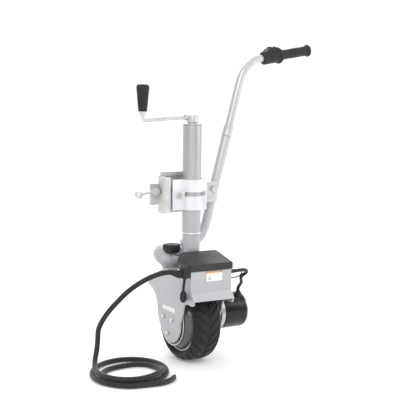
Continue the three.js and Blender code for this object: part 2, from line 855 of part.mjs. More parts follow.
const motorRoom = () => latheX(disc(MOTOR.r + GAP, MOTOR.left - 1, MOTOR.right + 1), MOTOR.y, MOTOR.z, 40);
add(
  "motor_gland",
  cut(latheZ([[0, 180], [12, 180], [12, 204], [9, 207], [9, 212], [0, 212]], 172, -20, 20), motorRoom()),
  blackPlastic(),
);
add(
  "motor_lead",
  rod(
    smooth([
      [BOX.half + 1, -117, 299],
      [BOX.half + 14, -117, 300],
      [120, -116, 302],
      [142, -111, 298],
      [149, -102, 289],
      [143, -92, 280],
      [142, -83, 272],
      [152, -68, 260],
      [166, -48, 246],
      [172, -30, 234],
      [172, -20, 222],
      [172, -20, 212 + GAP],
    ]),
    5.8,
    20,
    8,
  ),
  rubber(),
);

add("power_gland", box(-104, -LID.half - GAP, -134, -108, 294, 327), blackPlastic());
const fusePath = [[-90, -117, 293.5], [-90, -117, 288], [-88, -108, 264], [-87, -105, 254], [-87, -105, 249.6]];
add("fuse_lead", rod(smooth(fusePath), 4.5, 4, 8), rubber());
add(
  "fuse_holder",
  latheZ([[0, 215], [6, 215], [8, 219], [11, 222], [11, 240], [8, 244], [8, 249], [0, 249]], -87, -105, 20),
  blackPlastic(),
);
add(
  "knob_cable",
  rod(
    smooth([
      [-54, 38, 338],
      [-58, 29, 342],
      [-63, 12, 347],
      [-64, -12, 349],
      [-62, LID.rear + 12, 349],
      [-62, LID.rear + 1, 349],
    ]),
    CABLE_END_R,
    12,
    8,
  ),
  rubber(),
);

// ---- Power cable --------------------------------------------------------------------------------------

// It leaves the gland to the left, falls to the floor and lies there in a loose coil.
const COIL = { x: -249, y: -71, across: 110, deep: 127, half: 17, top: 34 };
add(
  "power_cable",
  rod(
    smooth([
      [-105.5, -120, 306],
      [-112, -120, 307],
      [-136, -108, 317],
      [-166, -88, 307],
      [-203, -61, 285],
      [-268, -19, 226],
      [-310, 11, 146],
      [-327, 27, 78],
      [-324, 27, 50],
      [-324, 27, COIL.top + GAP],
    ]),
    CABLE_R,
    30,
    8,
  ),
  rubber(),
);

function coil() {
  const { half, top } = COIL;
  const inner = 1 - half / COIL.across;
  const outer = 1 + half / COIL.across;
  const ring = latheZ(
    [[inner, 8], [inner + 0.06, 0], [outer - 0.06, 0], [outer, 8], [outer, top - 12], [outer - 0.1, top], [inner + 0.1, top], [inner, top - 12]],
    0,
    0,
    32,
  );
  return ring.scale(COIL.across, COIL.deep, 1).rotateZ(THREE.MathUtils.degToRad(-30)).translate(COIL.x, COIL.y, 0);
}
add("cable_coil", coil(), rubber());

const tip = new THREE.Group();
tip.position.set(-166, -188, CABLE_R);
tip.rotation.z = THREE.MathUtils.degToRad(50);
model.add(tip);
add(
  "cable_terminal",
  latheX([[0, 0], [CABLE_R, 0], [CABLE_R, 12], [CABLE_END_R, 15], [CABLE_END_R, 32], [0, 32]], 0, 0, 16),
  rubber(),
  tip,
);

model.position.set(0, -plateRear, -CLAMP_Z);

export default model;
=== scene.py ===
"""Trailer jack wheel: the visible pieces, their finishes, the floor, the lights and the camera."""

import json
import math

import bmesh
import bpy
import numpy as np
from mathutils import Matrix, Vector


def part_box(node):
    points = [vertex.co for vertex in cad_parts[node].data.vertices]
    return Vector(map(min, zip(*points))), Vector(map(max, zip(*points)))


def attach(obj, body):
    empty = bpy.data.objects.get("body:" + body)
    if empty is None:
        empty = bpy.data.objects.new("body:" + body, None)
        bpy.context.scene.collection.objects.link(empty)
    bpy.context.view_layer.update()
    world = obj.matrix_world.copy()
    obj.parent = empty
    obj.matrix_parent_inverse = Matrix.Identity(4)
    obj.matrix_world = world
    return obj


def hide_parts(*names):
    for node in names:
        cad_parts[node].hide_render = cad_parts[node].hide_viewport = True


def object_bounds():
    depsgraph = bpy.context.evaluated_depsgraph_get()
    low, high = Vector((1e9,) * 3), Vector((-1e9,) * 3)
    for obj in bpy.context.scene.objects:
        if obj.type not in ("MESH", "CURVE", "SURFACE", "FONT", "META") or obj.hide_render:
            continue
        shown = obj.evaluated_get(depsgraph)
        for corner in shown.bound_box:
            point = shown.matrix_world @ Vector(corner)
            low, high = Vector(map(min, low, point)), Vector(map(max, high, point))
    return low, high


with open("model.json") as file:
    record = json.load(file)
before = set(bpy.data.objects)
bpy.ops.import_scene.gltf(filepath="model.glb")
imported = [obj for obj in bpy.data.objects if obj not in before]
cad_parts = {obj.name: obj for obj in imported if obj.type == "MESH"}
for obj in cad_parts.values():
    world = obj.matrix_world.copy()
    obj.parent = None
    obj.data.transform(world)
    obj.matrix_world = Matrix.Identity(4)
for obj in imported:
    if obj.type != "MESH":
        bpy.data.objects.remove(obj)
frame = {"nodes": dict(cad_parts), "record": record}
CAD_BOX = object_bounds()

bl_info = {
    "name": "Trailer Jack Wheel",
    "version": (1, 0, 0),
    "blender": (4, 5, 0),
    "location": "3D View > Sidebar > Jack Wheel",
    "description": "Builds the visible pieces of a motor-driven trailer jack wheel round its fixed frame",
    "category": "Object",
}

# ---- Places ----


def corners(node):
    """The lowest and highest corner of a frame node, as arrays in metres."""
    low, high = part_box(node)
    return np.array(low[:]), np.array(high[:])


def middle(node):
    """The middle of a frame node's box."""
    low, high = corners(node)
    return (low + high) / 2


# The foot of the column on the floor: every size in millimetres below is measured from here.
FOOT = np.array([middle("outer_tube")[0], middle("outer_tube")[1], CAD_BOX[0][2]])


def spot(x, y, z):
    """A place in metres, from millimetres right of, behind and above the column's foot."""
    return np.array([x, y, z]) / 1000 + FOOT


def route(*points):
    """Several places at once, one row each."""
    return np.array([spot(*point) for point in points])


# ---- Surfaces ----


def run_along(line):
    """The distance along a line of points at each of them."""
    return np.concatenate([[0], np.cumsum(np.linalg.norm(np.diff(line, axis=0), axis=1))])


def evenly(line, count):
    """A line of points resampled to count points at even steps along it."""
    run = run_along(line)
    even = np.linspace(0, run[-1], count)
    return np.stack([np.interp(even, run, places) for places in line.T], axis=1)


def linked(name, mesh, crease):
    """A smooth object of the mesh in the scene, sharp where its faces meet at more than the crease."""
    mesh.polygons.foreach_set("use_smooth", np.ones(len(mesh.polygons), dtype=bool))
    mesh.set_sharp_from_angle(angle=math.radians(crease))
    piece = bpy.data.objects.new(name, mesh)
    bpy.context.scene.collection.objects.link(piece)
    return piece


def new_piece(name, vertices, faces, uvs=None, crease=40):
    """A mesh object at the origin. Edges sharper than the crease angle in degrees stay sharp."""
    mesh = bpy.data.meshes.new(name)
    mesh.from_pydata(vertices.tolist(), [], faces.tolist())
    if uvs is not None:
        layer = mesh.uv_layers.new(name="wrap")
        layer.data.foreach_set("uv", uvs.astype(np.float32).ravel())
    shape = bmesh.new()
    shape.from_mesh(mesh)
    bmesh.ops.remove_doubles(shape, verts=shape.verts, dist=1e-6)
    bmesh.ops.dissolve_degenerate(shape, edges=shape.edges, dist=1e-7)
    bmesh.ops.recalc_face_normals(shape, faces=shape.faces)
    shape.to_mesh(mesh)
    shape.free()
    return linked(name, mesh, crease)


def skin(name, grid, around=True, uv_scale=None, crease=40):
    """A surface through a grid of points, rows by columns by 3, each cell one face.

    around joins the last column to the first. uv_scale is the metres per UV unit along the rows;
    across the columns one UV unit is the whole way round.
    """
    rows, columns = grid.shape[:2]
    spans = columns if around else columns - 1
    i, j = np.meshgrid(np.arange(rows - 1), np.arange(spans), indexing="ij")
    k = (j + 1) % columns
    row, below = i * columns, (i + 1) * columns
    faces = np.stack([row + j, below + j, below + k, row + k], axis=-1)
    uvs = None
    if uv_scale is not None:
        run = run_along(grid.mean(axis=1)) / uv_scale
        u0, u1 = run[i], run[i + 1]
        v0, v1 = j / spans, (j + 1) / spans
        uvs = np.stack([np.stack(p, axis=-1) for p in ((u0, v0), (u1, v0), (u1, v1), (u0, v1))], axis=-2)
        uvs = uvs.reshape(-1, 2)
    return new_piece(name, grid.reshape(-1, 3), faces.reshape(-1, 4), uvs, crease)


def eased(profile, radius=0.0012, steps=4):
    """A profile of (radius, along) in millimetres, in metres, with each corner between its ends rounded.

    Each corner becomes a quadratic curve that starts and ends the radius, or less on a short side,
    away from it: p(t) = (1-t)^2 a + 2t(1-t) corner + t^2 b.
    """
    points = np.array(profile, dtype=float) / 1000
    t = np.linspace(0, 1, steps + 1)[:, None]
    parts = [points[:1]]
    for before, corner, after in zip(points[:-2], points[1:-1], points[2:]):
        reach_in = min(radius, np.linalg.norm(before - corner) * 0.45)
        reach_out = min(radius, np.linalg.norm(after - corner) * 0.45)
        a = corner + (before - corner) / np.linalg.norm(before - corner) * reach_in
        b = corner + (after - corner) / np.linalg.norm(after - corner) * reach_out
        parts.append((1 - t) ** 2 * a + 2 * t * (1 - t) * corner + t**2 * b)
    parts.append(points[-1:])
    return np.concatenate(parts)


def turned(profile, centre, along, steps=96, relief=None):
    """Grid of a turned shape: point(s, a) = centre + along * h(s) + r(s, a) * (e1 cos a + e2 sin a).

    profile rows are (r, h) in metres. relief(a, r, h), if given, is added to the radius.
    """
    along = np.array(along, dtype=float)
    along /= np.linalg.norm(along)
    e1 = np.cross(along, [0, 1, 0] if abs(along[1]) < 0.9 else [1, 0, 0])
    e1 /= np.linalg.norm(e1)
    e2 = np.cross(along, e1)
    a = np.linspace(0, 2 * math.pi, steps, endpoint=False)[None, :, None]
    r = profile[:, 0][:, None, None] * np.ones_like(a)
    h = profile[:, 1][:, None, None] * np.ones_like(a)
    if relief is not None:
        r = r + relief(a, r, h)
    return centre + along * h + r * (e1 * np.cos(a) + e2 * np.sin(a))


def lathe(name, profile, centre, along=(0, 0, 1), steps=96, ease=0.0012, relief=None, crease=40):
    """A piece turned from a closed or pole-to-pole profile in millimetres."""
    return skin(name, turned(eased(profile, ease), centre, along, steps, relief), crease=crease)


def flowing(points, count):
    """A smooth line through the points: cubic pieces whose slope at a point is half the chord between
    its neighbours, resampled to count points at even steps along it."""
    points = np.asarray(points, dtype=float)
    ends = np.concatenate([2 * points[:1] - points[1:2], points, 2 * points[-1:] - points[-2:-1]])
    t = np.linspace(0, 1, 24, endpoint=False)[:, None]
    parts = []
    for p0, p1, p2, p3 in zip(ends[:-3], ends[1:-2], ends[2:-1], ends[3:]):
        square = 2 * p0 - 5 * p1 + 4 * p2 - p3
        cube = 3 * p1 - p0 - 3 * p2 + p3
        parts.append(0.5 * (2 * p1 + (p2 - p0) * t + square * t**2 + cube * t**3))
    return evenly(np.concatenate(parts + [points[-1:]]), count)


def tube_grid(line, radius, sides):
    """Grid of a tube: ring(i) = line(i) + r(i) * (n cos a + b sin a), with n and b carried along the line
    so that the ring doesn't twist, and a point at each end to close it."""
    slope = np.gradient(line, axis=0)
    slope /= np.linalg.norm(slope, axis=1)[:, None]
    n = np.cross(slope[0], [0.3, 0.5, 0.81])
    frames = []
    for s in slope:
        n = n - s * np.dot(n, s)
        n = n / np.linalg.norm(n)
        frames.append((n, np.cross(s, n)))
    frames = np.array(frames)
    a = np.linspace(0, 2 * math.pi, sides, endpoint=False)[None, :, None]
    r = (np.ones(len(line)) * radius)[:, None, None]
    rings = line[:, None, :] + r * (frames[:, None, 0] * np.cos(a) + frames[:, None, 1] * np.sin(a))
    first = np.repeat(line[:1, None, :], sides, axis=1)
    last = np.repeat(line[-1:, None, :], sides, axis=1)
    return np.concatenate([first, rings, last])


def tube(name, points, radius, count=80, sides=24):
    """A closed round tube along a smooth line through the points, in metres."""
    return skin(name, tube_grid(flowing(points, count), radius, sides), crease=60)


def finely(shape, steps):
    """A profile with each of its sides cut into steps."""
    sides = [np.linspace(a, b, steps, endpoint=False) for a, b in zip(shape[:-1], shape[1:])]
    return np.concatenate(sides + [[shape[-1]]])


def finished(node, width=0.0008, crease=32):
    """A merged copy of a frame node, with its flat faces made whole and its edges broken."""
    source = frame["nodes"][node]
    mesh = source.data.copy()
    mesh.name = node + "_finished"
    mesh.materials.clear()
    shape = bmesh.new()
    shape.from_mesh(mesh)
    bmesh.ops.remove_doubles(shape, verts=shape.verts, dist=2e-6)
    bmesh.ops.dissolve_limit(shape, angle_limit=math.radians(1.5), verts=shape.verts, edges=shape.edges)
    bmesh.ops.recalc_face_normals(shape, faces=shape.faces)
    shape.to_mesh(mesh)
    shape.free()
    piece = linked(mesh.name, mesh, crease)
    bevel = piece.modifiers.new("Broken edges", "BEVEL")
    bevel.width = width
    bevel.segments = 2
    bevel.limit_method = "ANGLE"
    bevel.angle_limit = math.radians(crease)
    bevel.harden_normals = True
    bevel.use_clamp_overlap = True
    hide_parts(node)
    return piece


def fit(piece, body, look, slot, *nodes):
    """Gives a piece its finish, the body it rides on and the frame nodes it stands for; its record slot
    argument is not used.
    """
    piece.data.materials.clear()
    piece.data.materials.append(finish(look))
    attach(piece, body)
    if nodes:
        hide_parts(*nodes)
    return piece


# ---- Finishes ----


class Tree:
    """Short ways to add and join the nodes of one node tree."""

    def __init__(self, tree):
        self.tree = tree

    def put(self, kind, **settings):
        node = self.tree.nodes.new(kind)
        for key, value in settings.items():
            if key.startswith("in_"):
                node.inputs[key[3:].replace("_", " ")].default_value = value
            else:
                setattr(node, key, value)
        return node

    def link(self, a, b):
        self.tree.links.new(a, b)


class Nodes(Tree):
    """Short ways to lay out a material's nodes."""

    def __init__(self, name, **uniform):
        self.material = bpy.data.materials.new(name)
        self.material.use_nodes = True
        super().__init__(self.material.node_tree)
        self.shader = self.tree.nodes["Principled BSDF"]
        for socket, value in uniform.items():
            self.shader.inputs[socket.replace("_", " ")].default_value = value
        self.coords = self.put("ShaderNodeTexCoord")

    def placed(self, scale=(1, 1, 1)):
        mapping = self.put("ShaderNodeMapping", in_Scale=scale)
        self.link(self.coords.outputs["Object"], mapping.inputs["Vector"])
        return mapping.outputs["Vector"]

    def noise(self, vector, scale, detail=3, rough=0.5):
        node = self.put("ShaderNodeTexNoise", in_Scale=scale, in_Detail=detail, in_Roughness=rough)
        self.link(vector, node.inputs["Vector"])
        return node.outputs["Fac"]

    def ramp(self, value, *stops):
        node = self.put("ShaderNodeValToRGB")
        elements = node.color_ramp.elements
        while len(elements) < len(stops):
            elements.new(0.5)
        for element, (place, colour) in zip(elements, stops):
            element.position = place
            element.color = (*colour, 1)
        self.link(value, node.inputs["Fac"])
        return node.outputs["Color"]

    def levels(self, value, low, high, start=0.3, end=0.7):
        node = self.put("ShaderNodeMapRange")
        for socket, number in zip(("From Min", "From Max", "To Min", "To Max"), (start, end, low, high)):
            node.inputs[socket].default_value = number
        self.link(value, node.inputs["Value"])
        return node.outputs["Result"]

    def math(self, operation, a, b=None):
        node = self.put("ShaderNodeMath", operation=operation)
        for socket, value in zip(node.inputs, (a, b)):
            if value is None:
                continue
            if isinstance(value, (int, float)):
                socket.default_value = value
            else:
                self.link(value, socket)
        return node.outputs["Value"]

    def times(self, a, b):
        return self.math("MULTIPLY", a, b)

    def over(self, a, b):
        return self.math("GREATER_THAN", a, b)

    def under(self, a, b):
        return self.math("LESS_THAN", a, b)

    def away(self, a, b):
        return self.math("ABSOLUTE", self.math("SUBTRACT", a, b))

    def mix(self, amount, a, b):
        node = self.put("ShaderNodeMix", data_type="RGBA")
        self.link(amount, node.inputs["Factor"])
        for socket, value in zip((node.inputs[6], node.inputs[7]), (a, b)):
            if isinstance(value, tuple):
                socket.default_value = (*value, 1)
            else:
                self.link(value, socket)
        return node.outputs[2]

    def bump(self, height, depth, strength=0.5, under=None):
        node = self.put("ShaderNodeBump", in_Strength=strength, in_Distance=depth)
        self.link(height, node.inputs["Height"])
        if under is not None:
            self.link(under, node.inputs["Normal"])
        return node.outputs["Normal"]

    def finish(self, colour=None, rough=None, normal=None):
        if colour is not None:
            self.link(colour, self.shader.inputs["Base Color"])
        if rough is not None:
            self.link(rough, self.shader.inputs["Roughness"])
        if normal is not None:
            self.link(normal, self.shader.inputs["Normal"])
        return self.material


def shade(colour, amount):
    """A colour made lighter or darker by a factor."""
    return tuple(min(1.0, max(0.0, c * amount)) for c in colour)


def sprayed(name, colour, rough=0.38, metallic=0.25, coat=0.15):
    """Silver spray paint: cloudy tone, fine metallic flake and a faint orange-peel skin."""
    n = Nodes(name, Metallic=metallic, Coat_Weight=coat, Coat_Roughness=0.25)
    cloud = n.noise(n.placed(), 7, 3)
    flake = n.noise(n.placed(), 3200, 1)
    tone = n.ramp(cloud, (0.25, shade(colour, 0.96)), (0.75, shade(colour, 1.03)))
    speck = n.mix(n.levels(flake, 0.0, 0.07, 0.45, 0.8), tone, shade(colour, 1.25))
    peel = n.bump(n.noise(n.placed(), 380, 1), 0.0003, 0.05)
    fine = n.bump(flake, 0.0001, 0.05, peel)
    return n.finish(speck, n.levels(cloud, rough - 0.02, rough + 0.04), fine)


def plated(name, colour, rough=0.3):
    """Zinc plate: cloudy bright metal with fine drawn lines and dull patches."""
    n = Nodes(name, Metallic=0.6)
    patch = n.noise(n.placed(), 38, 5, 0.6)
    lines = n.noise(n.placed((60, 60, 1400)), 1, 3)
    tone = n.ramp(patch, (0.3, shade(colour, 0.88)), (0.55, colour), (0.8, shade(colour, 1.06)))
    normal = n.bump(lines, 0.0003, 0.14, n.bump(n.noise(n.placed(), 700, 2), 0.0003, 0.12))
    return n.finish(tone, n.levels(patch, rough - 0.06, rough + 0.16), normal)


def cast(name, colour, rough=0.42):
    """Cast and blasted aluminium: a sandy skin over a slow change of tone."""
    n = Nodes(name, Metallic=0.4)
    sand = n.noise(n.placed(), 900, 3, 0.7)
    cloud = n.noise(n.placed(), 22, 3)
    tone = n.ramp(cloud, (0.3, shade(colour, 0.92)), (0.7, shade(colour, 1.04)))
    return n.finish(tone, n.levels(cloud, rough - 0.05, rough + 0.08), n.bump(sand, 0.0005, 0.22))


def machined(name, colour, spin_axis=0):
    """Turned metal: fine rings round the X axis (0) or the Z axis (2), from a noise squeezed along it."""
    n = Nodes(name, Metallic=0.8)
    rings = n.noise(n.placed((1800, 12, 12) if spin_axis == 0 else (12, 12, 1800)), 1, 2)
    cloud = n.noise(n.placed(), 30, 3)
    tone = n.ramp(cloud, (0.3, shade(colour, 0.9)), (0.7, shade(colour, 1.03)))
    return n.finish(tone, n.levels(rings, 0.24, 0.36), n.bump(rings, 0.0003, 0.2))


def grained(name, colour, rough=0.55, grain=650, depth=0.0005, dust=0.5):
    """Moulded plastic: a fine leather grain, with a little dust in it."""
    n = Nodes(name, Specular_IOR_Level=0.45)
    cells = n.put("ShaderNodeTexVoronoi", in_Scale=grain)
    n.link(n.placed(), cells.inputs["Vector"])
    cloud = n.noise(n.placed(), 26, 5, 0.6)
    dusty = n.ramp(cloud, (0.35, shade(colour, 0.9)), (0.8, shade(colour, 1.0 + dust)))
    normal = n.bump(cells.outputs["Distance"], depth, 0.16, n.bump(n.noise(n.placed(), 90, 2), 0.0008, 0.06))
    return n.finish(dusty, n.levels(cloud, rough - 0.08, rough + 0.1), normal)


def glossed(name, colour, rough=0.16, coat=0.6, shine=0.5):
    """Black gloss enamel: deep and smooth, with a slow ripple and faint handling marks."""
    n = Nodes(name, Coat_Weight=coat, Coat_Roughness=0.06, Specular_IOR_Level=shine)
    cloud = n.noise(n.placed(), 34, 5, 0.65)
    scuff = n.noise(n.placed((30, 400, 400)), 1, 4)
    tone = n.ramp(scuff, (0.35, colour), (0.8, shade(colour, 1.25)))
    return n.finish(tone, n.levels(cloud, rough - 0.03, rough + 0.07), n.bump(cloud, 0.0008, 0.03))


def rubbered(name, colour, rough=0.72, grain=900):
    """Moulded rubber: matt, with fine pitting and a pale bloom."""
    n = Nodes(name, Sheen_Weight=0.12, Sheen_Roughness=0.5, Specular_IOR_Level=0.35)
    pits = n.noise(n.placed(), grain, 4, 0.7)
    cloud = n.noise(n.placed(), 19, 5, 0.6)
    tone = n.ramp(cloud, (0.3, shade(colour, 0.85)), (0.75, shade(colour, 1.5)))
    return n.finish(tone, n.levels(cloud, rough - 0.1, rough + 0.1), n.bump(pits, 0.0006, 0.25))


def braided(name, colour):
    """Woven sleeve: strands from sin(along + around) and sin(along - around), under a broad pale band of
    painted sheen.
    """
    n = Nodes(name, Sheen_Weight=0.2, Sheen_Roughness=0.4, Specular_IOR_Level=0.4)
    split = n.put("ShaderNodeSeparateXYZ")
    n.link(n.coords.outputs["UV"], split.inputs["Vector"])
    along = n.times(split.outputs["X"], 2 * math.pi)
    round_it = n.times(split.outputs["Y"], 2 * math.pi * 6)
    one = n.math("SINE", n.math("ADD", along, round_it))
    two = n.math("SINE", n.math("SUBTRACT", along, round_it))
    weave = n.math("MAXIMUM", one, two)
    # A slow helical band, much lighter than the sleeve: painted sheen.
    slow = n.math("ADD", n.times(along, 0.25), n.times(round_it, 1 / 3))
    broad = n.math("SINE", slow)
    height = n.levels(weave, 0.0, 1.0, -0.6, 1.0)
    painted_sheen = n.levels(broad, 0.0, 1.0, -0.5, 0.9)
    tone = n.mix(height, shade(colour, 0.45), shade(colour, 1.35))
    lit = n.mix(n.times(painted_sheen, 0.55), tone, shade(colour, 2.6))
    return n.finish(lit, n.levels(height, 0.7, 0.48, 0, 1), n.bump(height, 0.0012, 0.6))


def printed_label(name, node, across, strip, mark):
    """Plain printed film: white, a coloured strip along the top, grey rules, and a plain grey triangle.

    The places come from the label's own box: across is its long axis, and height is always Z.
    """
    low, high = corners(node)
    n = Nodes(name, Roughness=0.38, Coat_Weight=0.2, Coat_Roughness=0.2)
    split = n.put("ShaderNodeSeparateXYZ")
    n.link(n.coords.outputs["Object"], split.inputs["Vector"])
    u = n.levels(split.outputs["XYZ"[across]], 0.0, 1.0, low[across], high[across])
    v = n.levels(split.outputs["Z"], 0.0, 1.0, low[2], high[2])
    paper = n.ramp(n.noise(n.placed(), 120, 3), (0.3, (0.83, 0.83, 0.80)), (0.7, (0.92, 0.92, 0.90)))
    # The coloured strip, then the rules beside the triangle.
    in_strip = n.over(v, 0.79)
    rules = n.over(n.math("SINE", n.times(v, 62)), 0.35)
    beside = n.times(n.over(u, 0.42), n.under(u, 0.93))
    below = n.times(n.over(v, 0.12), n.under(v, 0.62))
    ruled = n.times(n.times(rules, beside), below)
    tone = n.mix(n.times(ruled, 0.55), paper, (0.35, 0.35, 0.36))
    tone = n.mix(in_strip, tone, strip)
    # A dark line round the edge.
    edge_u = n.over(n.away(u, 0.5), 0.47)
    edge_v = n.over(n.away(v, 0.5), 0.455)
    edge = n.math("MAXIMUM", edge_u, edge_v)
    tone = n.mix(n.times(edge, 0.75 * (mark > 0)), tone, (0.16, 0.18, 0.26))
    # The triangle.
    side = n.away(u, 0.22)
    roof = n.under(n.math("ADD", n.times(side, 3.2), v), 0.62)
    shape = n.times(roof, n.over(v, 0.15))
    tone = n.mix(n.times(shape, mark), tone, (0.25, 0.25, 0.26))
    return n.finish(tone, None, n.bump(n.noise(n.placed(), 400, 2), 0.0003, 0.1))


FINISHES = {}


def finish(key):
    """The finish of that name, made the first time it is wanted."""
    look = bpy.context.scene.jack_wheel_look
    front_strip = (0.74, 0.28, 0.10)
    makers = {
        "column paint": lambda: sprayed("column_paint", look.column_paint[:], 0.34, 0.35),
        "handle paint": lambda: sprayed("handle_paint", look.handle_paint[:], 0.3, 0.3),
        "housing paint": lambda: sprayed("housing_paint", look.housing_paint[:], 0.36, 0.18),
        "dome plastic": lambda: grained("dome_plastic", look.housing_paint[:], 0.42, 900, 0.0003, 0.08),
        "zinc": lambda: plated("zinc_plate", look.zinc[:]),
        "jaw": lambda: cast("jaw_aluminium", look.jaw[:]),
        "machined": lambda: machined("machined_aluminium", (0.50, 0.51, 0.53)),
        # Near-white plated finish for thin rings: painted highlight where the rim's edges and the column's
        # lip catch the light.
        "bright ring": lambda: plated("painted_highlight_ring", (0.88, 0.88, 0.89), 0.25),
        "steel": lambda: machined("bright_steel", (0.60, 0.60, 0.62), 2),
        "black plastic": lambda: grained("grained_black", look.plastic[:]),
        "lid plastic": lambda: grained("lid_plastic", look.lid[:], 0.46, 700, 0.0005, 0.25),
        "relay": lambda: grained("relay_black", shade(look.plastic[:], 0.8), 0.4, 1200, 0.0002, 0.2),
        "rim": lambda: glossed("rim_gloss", (0.08, 0.08, 0.084), 0.36),
        "motor": lambda: glossed("motor_enamel", (0.006, 0.006, 0.007), 0.24, 0.15, 0.3),
        "tyre": lambda: rubbered("tyre_rubber", look.tyre[:]),
        "grip": lambda: rubbered("grip_rubber", look.grip[:], 0.6),
        "sleeve": lambda: braided("cable_sleeve", look.cable[:]),
        "lead": lambda: rubbered("lead_rubber", look.cable[:], 0.45, 1400),
        "leg label": lambda: printed_label("leg_label_print", "leg_label", 1, (0.86, 0.86, 0.86), 0.0),
        "front label": lambda: printed_label("front_label_print", "warning_label", 0, front_strip, 0.55),
    }
    if key not in FINISHES:
        FINISHES[key] = makers[key]()
    return FINISHES[key]


# ---- Settings ----


def tint(name, words, colour):
    """A colour setting."""
    return bpy.props.FloatVectorProperty(
        name=name, description=words, subtype="COLOR", size=3, min=0, max=1, default=colour
    )


def size(name, words, value, low, high):
    """A size setting in metres."""
    return bpy.props.FloatProperty(
        name=name, description=words, default=value, min=low, max=high, subtype="DISTANCE", unit="LENGTH"
    )


def whole_number(name, words, value, low, high):
    """A whole-number setting."""
    return bpy.props.IntProperty(name=name, description=words, default=value, min=low, max=high)


class JackWheelLook(bpy.types.PropertyGroup):
    """Colours of the jack wheel's finishes."""

    column_paint: tint("Column paint", "Paint of the outer tube and its lower socket", (0.45, 0.452, 0.485))
    handle_paint: tint("Handle paint", "Paint of the steering handle's tubes", (0.55, 0.55, 0.58))
    housing_paint: tint("Housing paint", "Paint of the wheel hood and legs", (0.46, 0.46, 0.485))
    zinc: tint("Zinc", "Plating of the clamp, crank and bolts", (0.65, 0.65, 0.63))
    jaw: tint("Jaw", "Cast metal of the clamp's front jaw", (0.80, 0.80, 0.83))
    plastic: tint("Black plastic", "Moulded grips, knob and glands", (0.010, 0.010, 0.011))
    lid: tint("Lid plastic", "Sloping lid of the control box", (0.024, 0.024, 0.027))
    tyre: tint("Tyre rubber", "Rubber of the tyre", (0.010, 0.010, 0.011))
    grip: tint("Grip rubber", "Rubber of the steering grip", (0.010, 0.010, 0.011))
    cable: tint("Cable", "Woven sleeve of the power cable", (0.011, 0.011, 0.012))


class JackWheelSizes(bpy.types.PropertyGroup):
    """Sizes that a user may change."""

    tread_depth: size("Tread depth", "Depth of the grooves in the tyre's tread", 0.0045, 0.001, 0.008)
    tread_blocks: whole_number("Tread blocks", "Number of V-shaped blocks round the tyre", 24, 12, 48)
    cable_radius: size("Cable radius", "Outer radius of the woven cable sleeve", 0.0082, 0.005, 0.009)
    grip_flutes: whole_number("Grip flutes", "Number of flutes round the crank's grip", 14, 6, 24)
    flute_depth: size("Flute depth", "Depth of the flutes in the crank's grip", 0.0014, 0.0, 0.003)


# ---- Power cable ----

# The coil lies on an oval: its middle, its two half widths and its turn from the X axis.
COIL_CENTRE = (-249, -71)
COIL_HALF = (110, 127)
COIL_TURN = math.radians(-30)
TERMINAL_PLACE = (-166, -188, 8.2)
TERMINAL_TURN = math.radians(50)


def coil_line(angles, offsets, heights):
    """Points of the coil: centre + (A + o) cos(a) e1 + (B + o) sin(a) e2 at height z, in metres."""
    e1 = np.array([math.cos(COIL_TURN), math.sin(COIL_TURN)])
    e2 = np.array([-math.sin(COIL_TURN), math.cos(COIL_TURN)])
    a = np.radians(angles)[:, None]
    o = np.asarray(offsets, dtype=float)[:, None]
    plan = np.array(COIL_CENTRE) + (COIL_HALF[0] + o) * np.cos(a) * e1 + (COIL_HALF[1] + o) * np.sin(a) * e2
    return np.array([spot(x, y, z) for (x, y), z in zip(plan, heights)])


def cable_line(radius):
    """The cable's middle line: out of its gland, down in an arc, over the pile, then two flat turns."""
    drop = route(
        (-105.5, -120, 306), (-116, -120, 308.5), (-136, -108, 314), (-166, -88, 307), (-203, -61, 285),
        (-240, -39, 255), (-270, -17, 218), (-299, 4, 175), (-317, 17, 133),
    )
    d = 2000 * radius
    pitch = 1.05 * d
    spiral = lambda a: -0.52 * d + pitch * (a - 150) / 360 - 4
    # The first flat turn cuts across the back, and the second one swings a little wide there.
    apart = lambda a: 12 * np.exp(-(((a - 455) / 60) ** 2)) - 38 * np.exp(-(((a - 120) / 64) ** 2))
    low = 1000 * radius + 0.2
    # On top of the two flat turns, from the landing round the front.
    angles = np.array([159, 161.5, 169, 180, 194, 210, 228, 246, 264, 282, 298])
    groove = spiral(angles) + 0.525 * d + 8 * np.exp(-(((angles - 159) / 22) ** 2))
    tops = np.array([95, 69, 45.5, 30.5, 24.8, 23.6, 23.4, 23.4, 23.8, 24.8, 27.2])
    top = coil_line(angles, groove, tops)
    # Over the inner strand in a low hump and down beside it.
    angles = np.array([314, 330, 346, 362, 378, 396])
    ease = np.array([0.34, 0.08, -0.25, -0.6, -0.9, -1.0])
    drift = spiral(angles) + ease * pitch + apart(angles - 360)
    hump = coil_line(angles, drift, np.array([29.0, 29.2, 26.6, 19.4, 11.8, low]))
    # Flat turns, working outwards.
    angles = np.arange(52, 652, 12.0)
    flat = coil_line(angles, spiral(angles) + apart(angles), np.full(len(angles), low))
    tail = ((-230, -211), (-207, -209.5), (-188, -203.5), (-175, -195.5), TERMINAL_PLACE[:2])
    end = route(*((*place, low) for place in tail))
    return flowing(np.concatenate([drop, top, hump, flat, end]), 720)


